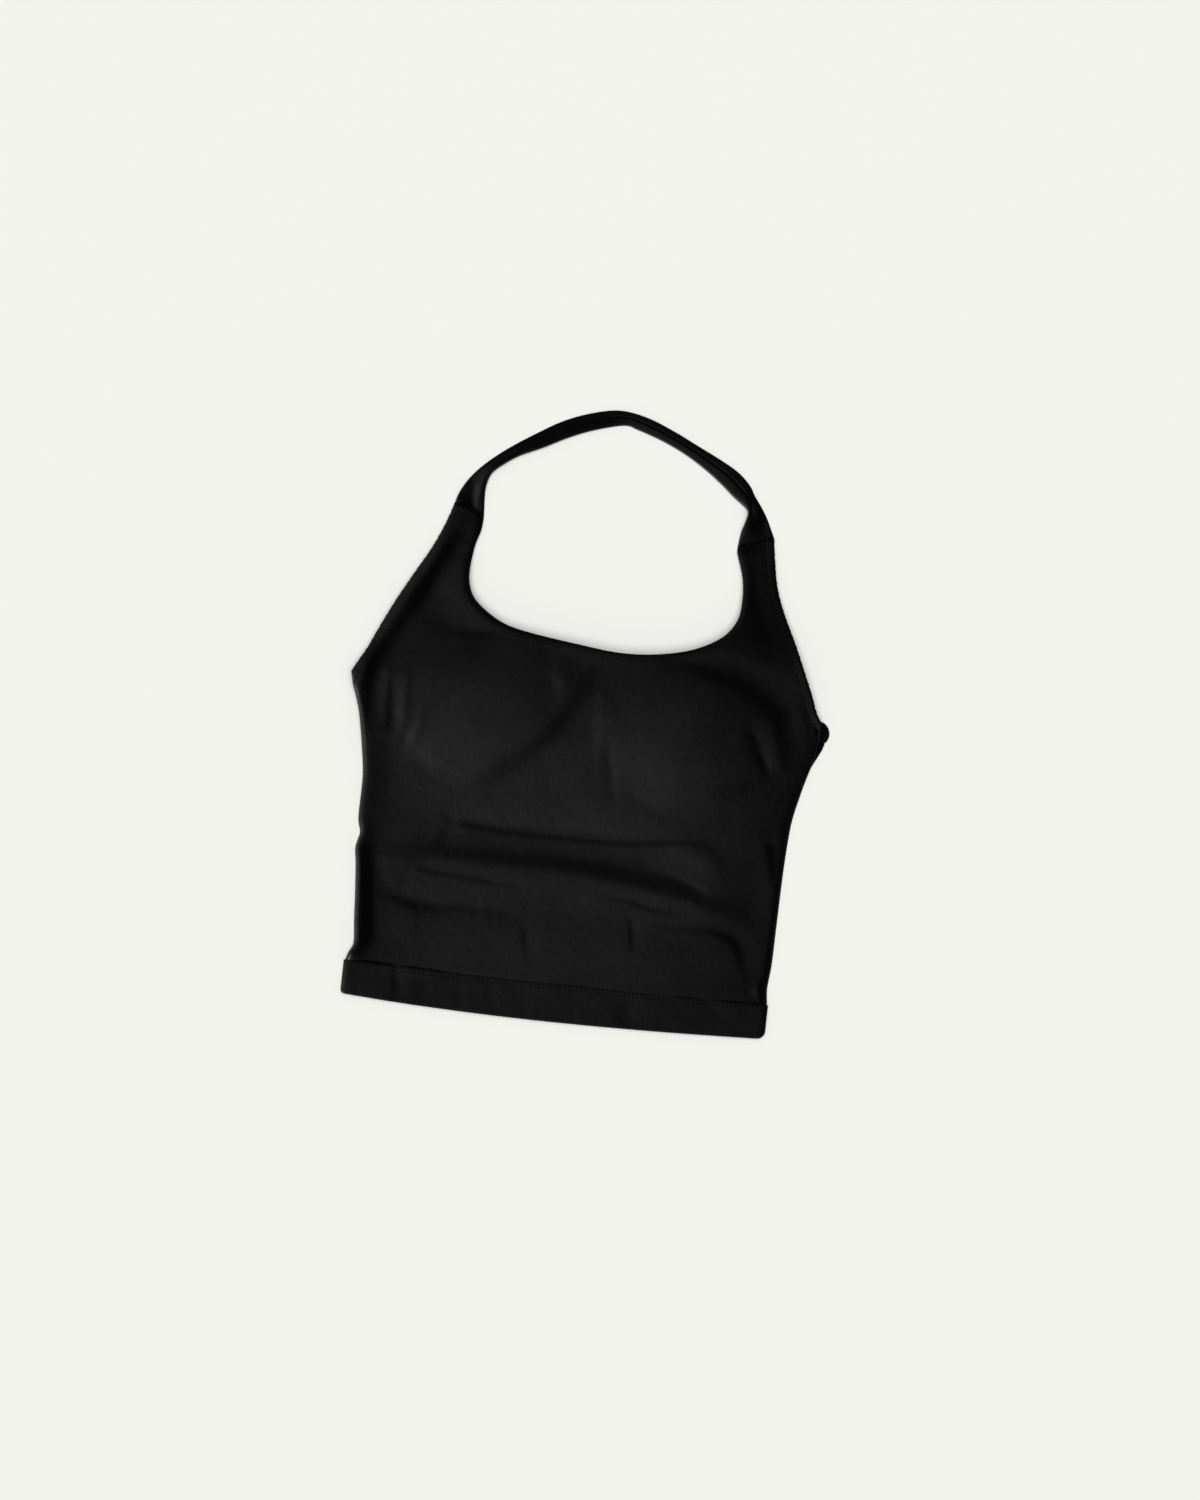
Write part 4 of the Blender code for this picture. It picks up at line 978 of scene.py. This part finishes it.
def binding_face(outer, curl, x, y):
    """The binding's height: on the front's level, round at the outer fold, and curled up."""
    away = distance_to(outer, x, y)
    crown = quarter_round(away / OUTER_ROUND)
    crown = crown * (0.75 + 0.25 * quarter_round((BINDING_WIDTH + 0.2 - away) / INNER_ROUND))
    lifted = curl * np.exp(-((away - 2.4) / 2.4) ** 2)
    return front_height(x, y) - 0.8 * (1 - crown) + lifted


def binding_painted_shade(x, y):
    """Painted shade on the elastic: beside the armpits, and most along the right arm, in the
    bust's shadow.
    """
    return -0.8 * (1 - smooth(y, 262, 320)) - 2.4 * smooth(x, 0, 100) * smooth(y, 300, 345)


bindings = []
for armhole in ARMHOLES:
    fold = edge_line(armhole.rows, BINDING_STEP)
    outer = rippled(fold, RIPPLE, RIPPLE_LENGTH)
    outline = joined(outer, armhole_edge(armhole, BINDING_WIDTH)[::-1])
    rows = edge_rows(fold, [-armhole.out * d for d in BINDING_ROWS], outline, 0.25)
    binding = thin_shell(armhole.name + "_cloth", outline, rows,
                         lambda x, y, line=outer, curl=BINDING_CURL[armhole.name]:
                         binding_face(line, curl, x, y), BINDING_WALL, folded_elastic)
    set_painted_light_and_stretch(binding, binding_painted_shade)
    bindings.append(binding)

# %% [markdown]
# ## The back and its binding
#
# The back lies flat under the front and shows only beside the right armpit, where its bound
# top edge peeps out with a round end. It is a plain thin shell with shallow press marks.

# %% Back cloth
BACK_WALL = 1.2
BACK_BINDING_WALL = 1.7
BACK_BINDING_WIDTH = 9.0
BACK_INSET = 3.3  # how far the back stays inside the front's sides
BACK_LEFT_CORNER = (-172.6, 226.0)
BACK_RIGHT_CORNER = [(166.6, 196), (170.4, 202), (173.8, 208), (177, 214.6),
                     (179.8, 220.4), (181.2, 225.2)]
BACK_END = [(171, 240.6), (174.6, 241.6), (178.4, 241), (181.4, 238.8), (183.4, 235.4),
            (184, 231.8), (183.2, 228.4), (181.4, 225.8), (178.4, 225.2)]


def back_outline():
    """The back's edge, from the hem to its binding."""
    hem = edge_line(HEM_TOP, 4.0) + (0, SEAM_GAP)
    left_heights = np.arange(hem[0, 1] + 0.5, BACK_LEFT_CORNER[1], 4.0)
    left = np.column_stack([left_at(left_heights) + BACK_INSET, left_heights])
    right_heights = left_heights[left_heights < BACK_RIGHT_CORNER[0][1] - 3]
    right = np.column_stack([right_at(right_heights) - BACK_INSET, right_heights])
    top = moved_in(edge_line(BACK_TOP, 4.0), BACK_BINDING_WIDTH + SEAM_GAP)
    top = top[(top[:, 0] > BACK_LEFT_CORNER[0] + 1) & (top[:, 0] < 176.0)]
    return joined(hem[1:-1], right, BACK_RIGHT_CORNER, top[::-1], [BACK_LEFT_CORNER], left[::-1])


def back_face(x, y):
    """Nearly flat: a few press marks a fifth of a millimetre deep."""
    marks = np.sin(0.11 * x + 0.03 * y) * np.sin(0.05 * y - 0.02 * x)
    return BACK_WALL - 0.1 + 0.1 * marks


back_edge = back_outline()
back_cloth = thin_shell("back_cloth", back_edge, grid_inside(back_edge, 6.0, 2.4), back_face,
                        BACK_WALL, black_jersey)

outer = edge_line(BACK_TOP, 2.2)
inner_edge = moved_in(outer, BACK_BINDING_WIDTH)
inner_edge = inner_edge[(inner_edge[:, 0] > BACK_LEFT_CORNER[0]) & (inner_edge[:, 0] < 176)]
outer = outer[outer[:, 0] < BACK_END[0][0] - 1.5]
back_binding_edge = joined(inner_edge, spline(BACK_END[::-1], 1.0), outer[::-1])


def back_binding_face(x, y):
    """Flat, with round edges."""
    away = distance_to(closed(back_binding_edge), x, y)
    return BACK_BINDING_WALL * (0.5 + 0.5 * quarter_round(away / 1.4))


rows = edge_rows(closed(back_binding_edge)[::-1], [0.5, 1.2, 2.2], back_binding_edge)
back_binding = thin_shell("back_binding_cloth", back_binding_edge, rows, back_binding_face,
                          BACK_BINDING_WALL, folded_elastic)
set_painted_light_and_stretch(back_binding, lambda x, y: 3.0 * smooth(x, 150, 168))  # its end is painted paler, to lift it out of the front's shadow

# %% [markdown]
# ## The cups
#
# Under the front lie two moulded foam cups. They hardly show, but their soft domes are what
# lifts the cloth, and they are seen from the armholes. Each is a domed pad, flat below, with
# a thin rim.

# %% Cups
CUP_SHARE = 0.75  # of the bulge that a cup makes in the front
CUP_FOOT = 2.1
CUP_CLEAR = 3.0
CUP_RINGS, CUP_SPOKES = 22, 72


def make_cup(cup):
    """A domed pad, built ring by ring, inside the bulge of the front."""
    rings, spokes = CUP_RINGS, CUP_SPOKES
    shares = CUP_SHARE * np.sin(0.5 * math.pi * np.arange(1, rings + 1) / rings)
    angles = 2 * math.pi * np.arange(spokes) / spokes
    across = np.append(0, np.outer(shares, cup.half_x * np.cos(angles)).ravel())
    up = np.append(0, np.outer(shares, cup.half_y * np.sin(angles)).ravel())
    a = math.radians(cup.turn)
    x = cup.x + across * math.cos(a) - up * math.sin(a)
    y = cup.y + across * math.sin(a) + up * math.cos(a)
    top = np.column_stack([x, y, np.maximum(front_height(x, y) - CUP_CLEAR, CUP_FOOT + 0.4)])
    under = top.copy()
    under[:, 2] = CUP_FOOT
    faces = []
    for layer in (0, len(top)):
        turn = 1 if layer == 0 else -1
        for s in range(spokes):
            n = (s + 1) % spokes
            faces.append((layer, layer + 1 + s, layer + 1 + n)[::turn])
            for ring in range(rings - 1):
                first = layer + 1 + ring * spokes
                face = (first + s, first + s + spokes, first + n + spokes, first + n)
                faces.append(face[::turn])
    last = 1 + (rings - 1) * spokes
    for s in range(spokes):
        n = (s + 1) % spokes
        faces.append((last + s, last + s + len(top), last + n + len(top), last + n))
    return add_piece(cup.name + "_pad", np.vstack([top, under]), faces, moulded_foam)


cup_pads = [make_cup(cup) for cup in CUPS]
print("cups:", ", ".join(pad.name for pad in cup_pads))

# %% [markdown]
# ## The turned hem
#
# The hem is the end of the front and back turned up and sewn: a flat tube 28 mm deep. Its
# section is a wall of cloth with rounded edges, carried along the lower layer from left to
# right and back along the upper one, so the two layers meet in a soft fold at each side.

# %% Hem
HEM_WALL = 1.7
HEM_HEIGHT = 4.7
HEM_LEFT, HEM_RIGHT = -159.3, 160.4
HEM_ROLL = 5.0  # how far in the folds at its sides are round
HEM_CORNER_LEFT, HEM_CORNER_RIGHT = 2.0, 5.2
HEM_END_WALL = 2.3
HEM_END_ROWS = np.array([0.0, 0.25, 0.8, 1.7, 2.8, 4.2, 6.0])  # distances from each side
HEM_MARKS = [  # where the seam puckers the hem, and the creases across it
    Fold(4, 5, [(-166, 23, 0.3), (-120, 23.5, 0.4), (-98, 23, 0.35), (-80, 23, 0)]),
    Fold(4, 5, [(-20, 21, 0), (-4, 21.4, 0.1), (26, 21.6, 0.1), (44, 22, 0)]),
    Fold(4, 5, [(86, 23, 0), (100, 23.4, 0.2), (132, 23.6, 0.2), (142, 23, 0)]),
    Fold(7, 2.4, [(-120, 27, -0.3), (-119, 18, -0.55), (-117.5, 8, -0.55), (-117, -4, -0.3)]),
    Fold(5, 5, [(-98, 24, -0.1), (-97, 10, -0.35), (-98, -3, 0)]),
    Fold(4, 4, [(-70, 22, 0), (-71, 10, -0.3), (-70, -3, 0)]),
    Fold(4, 4, [(-47, 22, 0), (-46, 8, -0.3), (-48, -3, 0)]),
    Fold(5, 5, [(-20, 20, 0), (-21, 6, -0.25), (-20, -4, 0)]),
    Fold(8, 8, [(60, 24, 0), (57, 12, -0.6), (56, 2, -0.6), (58, -4, 0)]),
    Fold(5, 5, [(104, 26, 0), (118, 20, -0.35), (128, 8, 0)]),
]
Slice = namedtuple("Slice", "share depth")  # across the hem, and through the cloth's wall
HEM_SECTION = (
    [Slice(0.0, 0.5), Slice(0.004, 0.25), Slice(0.016, 0.08), Slice(0.035, 0.0)]
    + [Slice(s, 0.0) for s in np.linspace(0.07, 0.93, 20)]
    + [Slice(0.965, 0.0), Slice(0.992, 0.005), Slice(0.998, 0.02), Slice(1.0, 0.06),
       Slice(1.0, 0.6)]
    + [Slice(s, 1.0) for s in np.linspace(0.97, 0.03, 6)]
)


def make_hem():
    """The hem's tube: its section carried round both layers."""
    width = HEM_RIGHT - HEM_LEFT
    xs = HEM_LEFT + np.concatenate([HEM_END_ROWS, np.linspace(8, width - 8, 150),
                                    width - HEM_END_ROWS[::-1]])
    shrink = 1 - 2 * HEM_END_WALL / width
    rings = []
    for cut in HEM_SECTION:
        at = HEM_LEFT + HEM_END_WALL + (xs - HEM_LEFT) * shrink
        at = xs + (at - xs) * cut.depth
        low = np.interp(at, HEM_BOTTOM_LINE[:, 0], HEM_BOTTOM_LINE[:, 1])
        low += HEM_CORNER_LEFT * (1 - quarter_round((xs - HEM_LEFT) / HEM_CORNER_LEFT))
        low += HEM_CORNER_RIGHT * (1 - quarter_round((HEM_RIGHT - xs) / HEM_CORNER_RIGHT))
        ys = low + (hem_seam(at) - SEAM_GAP - low) * cut.share
        turn = quarter_round(np.minimum(xs - HEM_LEFT, HEM_RIGHT - xs) / HEM_ROLL)
        out = (HEM_HEIGHT / 2 - HEM_WALL * cut.depth) * turn
        marks = all_folds(HEM_MARKS, at, ys) * turn
        lower = np.column_stack([at, ys, HEM_HEIGHT / 2 - out])
        upper = np.column_stack([at, ys, HEM_HEIGHT / 2 + out + marks])[::-1]
        rings.append(np.vstack([lower, upper[1:-1]]))
    faces = loft_faces(len(rings), len(rings[0]))
    return add_piece("hem_cloth", np.vstack(rings), faces, black_jersey)


def hem_painted_shade(x, y):
    """Painted shade on the doubled hem: a little darker overall, darker towards its ends, and
    darkest at its left top corner, where the side fold's shadow falls.
    """
    corner_shadow = np.exp(-((x + 154) / 8) ** 2 - ((y - 21) / 6) ** 2)
    ends = smooth(abs(x), 50, 110)
    return -0.2 - 1.2 * ends - 1.6 * corner_shadow


hem_cloth = make_hem()
set_painted_light_and_stretch(hem_cloth, hem_painted_shade)
print("hem:", len(hem_cloth.data.polygons) * 2, "triangles")

# %% [markdown]
# ## The neck strap
#
# The strap is a tube of the same jersey, pressed flat and folded, which turns over once near
# each join. A loft makes it: a table of sections gives both edges and five heights across the
# strap, from its outer edge to its inner one, so a row can lean either way or hold a groove.

# %% Strap table
Section = namedtuple("Section", "outer_x outer_y inner_x inner_y z1 z2 z3 z4 z5 groove")
STRAP = table(Section, [
    (-115, 373.4, -91.4, 365.4, 2.2, 2.5, 2.6, 2.5, 2.2, 0),
    (-114, 375.4, -91.5, 368.2, 2.9, 2.1, 1.5, 2.1, 1.9, 0),
    (-112.6, 380.2, -91.8, 373.6, 4.2, 2.6, 1.2, 2.8, 2.1, 0),
    (-110.4, 385.6, -92.3, 380.5, 3.8, 3, 1.6, 3.6, 2.7, 0),
    (-105.2, 394.4, -92.1, 389.6, 2.6, 2.6, 3.2, 4.8, 3.7, 0),
    (-97.2, 403.8, -88.8, 399.6, 2, 2.9, 4.4, 5.2, 4.4, 0),
    (-87.4, 412.8, -79.6, 408, 1.4, 2.4, 3.9, 5, 4.6, 0),
    (-75.5, 422, -68.8, 415.2, 1.2, 1.9, 3.3, 4.7, 4.6, 0),
    (-60, 432.4, -53.4, 422.4, 1.2, 1.7, 3, 4.5, 4.5, 0),
    (-40.5, 444.2, -34, 432.6, 1.3, 1.7, 2.8, 4.1, 4.1, 0),
    (-20, 452.4, -15.8, 440.1, 1.8, 2.1, 2.8, 3.6, 3.5, 0.2),
    (1.3, 456.8, 5.6, 445.9, 2.2, 2.5, 3, 3, 2.6, 0.7),
    (22, 453.8, 16.4, 443.8, 2.3, 2.6, 3.1, 2.8, 2.3, 0.9),
    (42.8, 446, 37, 436.9, 2.3, 2.6, 3.1, 2.8, 2.3, 0.9),
    (62, 437, 54.6, 428.8, 2.3, 2.6, 3.1, 2.8, 2.3, 0.9),
    (81, 428, 70.4, 419.2, 2.3, 2.6, 3.1, 2.8, 2.3, 0.9),
    (95.2, 420, 83.2, 409.8, 2.2, 2.6, 3.2, 2.9, 2.3, 0.9),
    (104.4, 411.4, 93, 401.6, 2.3, 2.7, 3.2, 3.2, 2.5, 0.9),
    (109, 404, 102.6, 394.6, 2.2, 2.6, 3.8, 4.6, 4, 0.5),
    (114, 397.4, 104.9, 391.2, 1.4, 1.8, 3.8, 6, 6, 0),
    (119.6, 388.8, 104, 385.2, 1.6, 1.6, 3.4, 6, 6.2, 0),
    (123.9, 380, 101.6, 376.6, 1.9, 1.8, 2.9, 4.8, 4.7, 0),
    (126.6, 374.4, 100.5, 368.6, 2.1, 2.2, 2.3, 2.5, 2.3, 0),
    (127.4, 371.8, 100.3, 365.2, 2.2, 2.4, 2, 1.7, 1.5, 0),
])
print(len(STRAP), "sections of the strap")

# %% [markdown]
# The sections are blended along the strap's middle line and rounded off at both edges. The
# underside lies flat on the table.

# %% Neck strap
GROOVE_PLACE = -0.1  # where the groove runs across the strap: -1 outer edge, 1 inner edge
GROOVE_WIDTH = 0.1
STRAP_STEP = 1.6
STRAP_ACROSS = 33
LEFT_JOIN, RIGHT_JOIN = (-108, 377), (107, 369)


def strap_points():
    """The strap's sections as rings of points: its face, then its underside."""
    rows = spline(STRAP, 1.0)
    middle = 0.5 * (rows[:, 0:2] + rows[:, 2:4])
    along = lengths(middle)
    at = np.linspace(0, along[-1], round(along[-1] / STRAP_STEP))
    rows = np.stack([np.interp(at, along, rows[:, k]) for k in range(10)], axis=1)
    shares = np.sin(np.linspace(-0.5, 0.5, STRAP_ACROSS) * math.pi)
    rings = []
    for row in rows:
        outer, inner = row[0:2], row[2:4]
        heights = spline(np.column_stack([np.linspace(-1, 1, 5), row[4:9]]), 0.05)
        face = np.interp(shares, heights[:, 0], heights[:, 1])
        face -= row[9] * np.exp(-((shares - GROOVE_PLACE) / GROOVE_WIDTH) ** 2)
        face *= 0.35 + 0.65 * quarter_round((1 - abs(shares)) / 0.16)
        flat = outer + (inner - outer) * ((1 + shares) / 2)[:, None]
        under = flat[-2:0:-4]
        rings.append(np.vstack([np.column_stack([flat, face]),
                                np.column_stack([under, np.zeros(len(under))])]))
    return np.array(rings), at


def spot(x, y, middle, half_width, half_height, core):
    """An oval patch: 1 within its core, and 0 from its edge outwards."""
    away = np.hypot((x - middle[0]) / half_width, (y - middle[1]) / half_height)
    return 1 - smooth(away, core, 1)


def strap_painted_shade(x, y):
    """Painted shade on the strap: its left half, its turn on the right, and both joins."""
    left_half_shade = (1 - 0.66 * smooth(x, -4, 14)) * smooth(y, 400, 406)
    turn = smooth(x, 101, 107) * smooth(y, 366, 372) * (1 - 0.7 * smooth(x, 116, 121))
    join_shade = np.maximum(spot(x, y, LEFT_JOIN, 10, 8, 0.4), spot(x, y, RIGHT_JOIN, 13, 8, 0.5))
    return -np.maximum(3.2 * np.maximum(left_half_shade, join_shade), 3.0 * turn)


strap_rings, strap_along = strap_points()
count, size = strap_rings.shape[:2]
faces = [(a, d, c, b) for a, b, c, d in loft_faces(count, size, closes=False)]
faces.append(tuple(reversed(range(size))))
faces.append(tuple(range((count - 1) * size, count * size)))
strap_cloth = add_piece("neck_strap_cloth", strap_rings.reshape(-1, 3), faces, black_jersey)
set_painted_light_and_stretch(strap_cloth, strap_painted_shade)
print(f"strap: {strap_along[-1]:.0f} mm long, {len(faces) * 2} triangles")

# %% [markdown]
# ## Stitches
#
# Black thread on black cloth hardly shows, but it draws a fine line beside every seam. Each
# row of stitches is one curve on the cloth; a Geometry Nodes tree puts a small thread loop at
# even steps along it, lays it along the curve and joins them all to one mesh.

# %% Stitch tree
STITCH_PITCH, STITCH_LENGTH, THREAD = 2.8 * MM, 2.1 * MM, 0.42 * MM
STITCH_RISE = 0.06  # how far a stitch's middle lies above the binding
LINE_RISE = 0.02
LINE_STEP = 0.9


def stitch_tree():
    """A node tree that lays stitches along a curve, with its sizes as named inputs."""
    tree = bpy.data.node_groups.new("stitches", "GeometryNodeTree")
    face = tree.interface
    face.new_socket("Geometry", in_out="INPUT", socket_type="NodeSocketGeometry")
    for name, value in (("Pitch", STITCH_PITCH), ("Length", STITCH_LENGTH), ("Thread", THREAD)):
        socket = face.new_socket(name, in_out="INPUT", socket_type="NodeSocketFloat")
        socket.default_value = value
    face.new_socket("Seed", in_out="INPUT", socket_type="NodeSocketInt").default_value = 3
    face.new_socket("Finish", in_out="INPUT", socket_type="NodeSocketMaterial")
    face.new_socket("Geometry", in_out="OUTPUT", socket_type="NodeSocketGeometry")
    start = add_node(tree, "NodeGroupInput").outputs
    curve = add_node(tree, "GeometryNodeMeshToCurve", None, {"Mesh": start["Geometry"]})
    points = add_node(tree, "GeometryNodeCurveToPoints", {"mode": "LENGTH"},
                      {"Curve": curve.outputs["Curve"], "Length": start["Pitch"]})
    loop = add_node(tree, "GeometryNodeMeshUVSphere", None,
                    {"Segments": 6, "Rings": 5, "Radius": 0.5})
    ahead = add_node(tree, "FunctionNodeAlignRotationToVector", {"axis": "X"},
                     {"Vector": points.outputs["Tangent"]})
    size = add_node(tree, "ShaderNodeCombineXYZ", None,
                    {"X": start["Length"], "Y": start["Thread"], "Z": start["Thread"]})
    uneven = add_node(tree, "FunctionNodeRandomValue", {"data_type": "FLOAT_VECTOR"},
                      {"Seed": start["Seed"]})
    uneven.inputs["Min"].default_value = (0.86, 0.9, 0.8)
    uneven.inputs["Max"].default_value = (1.08, 1.1, 1.1)
    scaled = add_node(tree, "ShaderNodeVectorMath", {"operation": "MULTIPLY"})
    tree.links.new(size.outputs["Vector"], scaled.inputs[0])
    tree.links.new(uneven.outputs["Value"], scaled.inputs[1])
    placed = add_node(tree, "GeometryNodeInstanceOnPoints", None,
                      {"Points": points.outputs["Points"], "Instance": loop.outputs["Mesh"],
                       "Rotation": ahead.outputs["Rotation"], "Scale": scaled.outputs["Vector"]})
    real = add_node(tree, "GeometryNodeRealizeInstances", None,
                    {"Geometry": placed.outputs["Instances"]})
    done = add_node(tree, "GeometryNodeSetMaterial", None,
                    {"Geometry": real.outputs["Geometry"], "Material": start["Finish"]})
    add_node(tree, "NodeGroupOutput", None, {"Geometry": done.outputs["Geometry"]})
    return tree


STITCHES = stitch_tree()
print("stitch inputs:", [item.name for item in STITCHES.interface.items_tree])

# %% [markdown]
# The rows themselves: two side by side along the hem, as two needles sew them, one on each
# armhole binding, and one along the neckline.

# %% Rows of stitches
def stitched(name, lines, height):
    """Rows of stitches along lines on the cloth, as one plain mesh."""
    points, edges = [], []
    for line in lines:
        even = respaced(line, LINE_STEP)
        z = height(even[:, 0], even[:, 1]) + LINE_RISE
        first = len(points)
        points += [tuple(p) for p in (np.column_stack([even, z]) + (*PLACE, 0)) * MM]
        edges += [(i, i + 1) for i in range(first, len(points) - 1)]
    mesh = bpy.data.meshes.new(name)
    mesh.from_pydata(points, edges, [])
    path = bpy.data.objects.new(name, mesh)
    scene.collection.objects.link(path)
    the_top.objects.link(path)
    modifier = path.modifiers.new("stitches", "NODES")
    modifier.node_group = STITCHES
    inputs = {"Pitch": STITCH_PITCH, "Length": STITCH_LENGTH, "Thread": THREAD,
              "Seed": len(points), "Finish": polyester_thread}
    for item in STITCHES.interface.items_tree:
        if item.in_out == "INPUT" and item.name in inputs:
            modifier[item.identifier] = inputs[item.name]
    evaluated = path.evaluated_get(bpy.context.evaluated_depsgraph_get())
    made = bpy.data.meshes.new_from_object(evaluated)
    path.modifiers.clear()
    path.data = made
    made.name = name
    made.shade_smooth()
    print(f"{name}: {len(made.polygons)} faces")
    return path


hem_xs = np.linspace(HEM_LEFT + 6, HEM_RIGHT - 6, 300)
hem_lines = [np.column_stack([hem_xs, hem_seam(hem_xs) - d]) for d in (2.2, 4.8)]
hem_stitches = stitched("hem_stitches", hem_lines,
                        lambda x, y: HEM_HEIGHT + all_folds(HEM_MARKS, x, y))
binding_lines = [armhole_edge(armhole, BINDING_WIDTH - 1.5)[2:] for armhole in ARMHOLES]
binding_stitches = stitched("binding_stitches", binding_lines,
                            lambda x, y: front_height(x, y) + STITCH_RISE)
neck_line = moved_in(edge_line(NECKLINE, 2.0), 6.0)[3:-3]
neck_line = neck_line[inside(front_edge, neck_line[:, 0], neck_line[:, 1])]
neck_stitches = stitched("neck_stitches", [neck_line], front_face)

# %% [markdown]
# ## Hang each piece on the body
#
# Every piece rides on the one body, and a piece that stands for a solid hides that solid.

left_binding, right_binding = bindings
cup_left, cup_right = cup_pads
roles = [
    (front_cloth, "front_panel", "black_jersey"),
    (back_cloth, "back_panel", "black_jersey"),
    (hem_cloth, "hem_band", "black_jersey"),
    (strap_cloth, "neck_strap", "black_jersey"),
    (left_binding, "armhole_binding_left", "black_rib_binding"),
    (right_binding, "armhole_binding_right", "black_rib_binding"),
    (back_binding, "back_binding", "black_rib_binding"),
    (cup_left, "cup_left", "black_foam"),
    (cup_right, "cup_right", "black_foam"),
    (hem_stitches, None, "black_jersey"),
    (binding_stitches, None, "black_rib_binding"),
    (neck_stitches, None, "black_jersey"),
]
for piece, node, finish in roles:
    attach(piece, "root")
    if node:
        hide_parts(node)
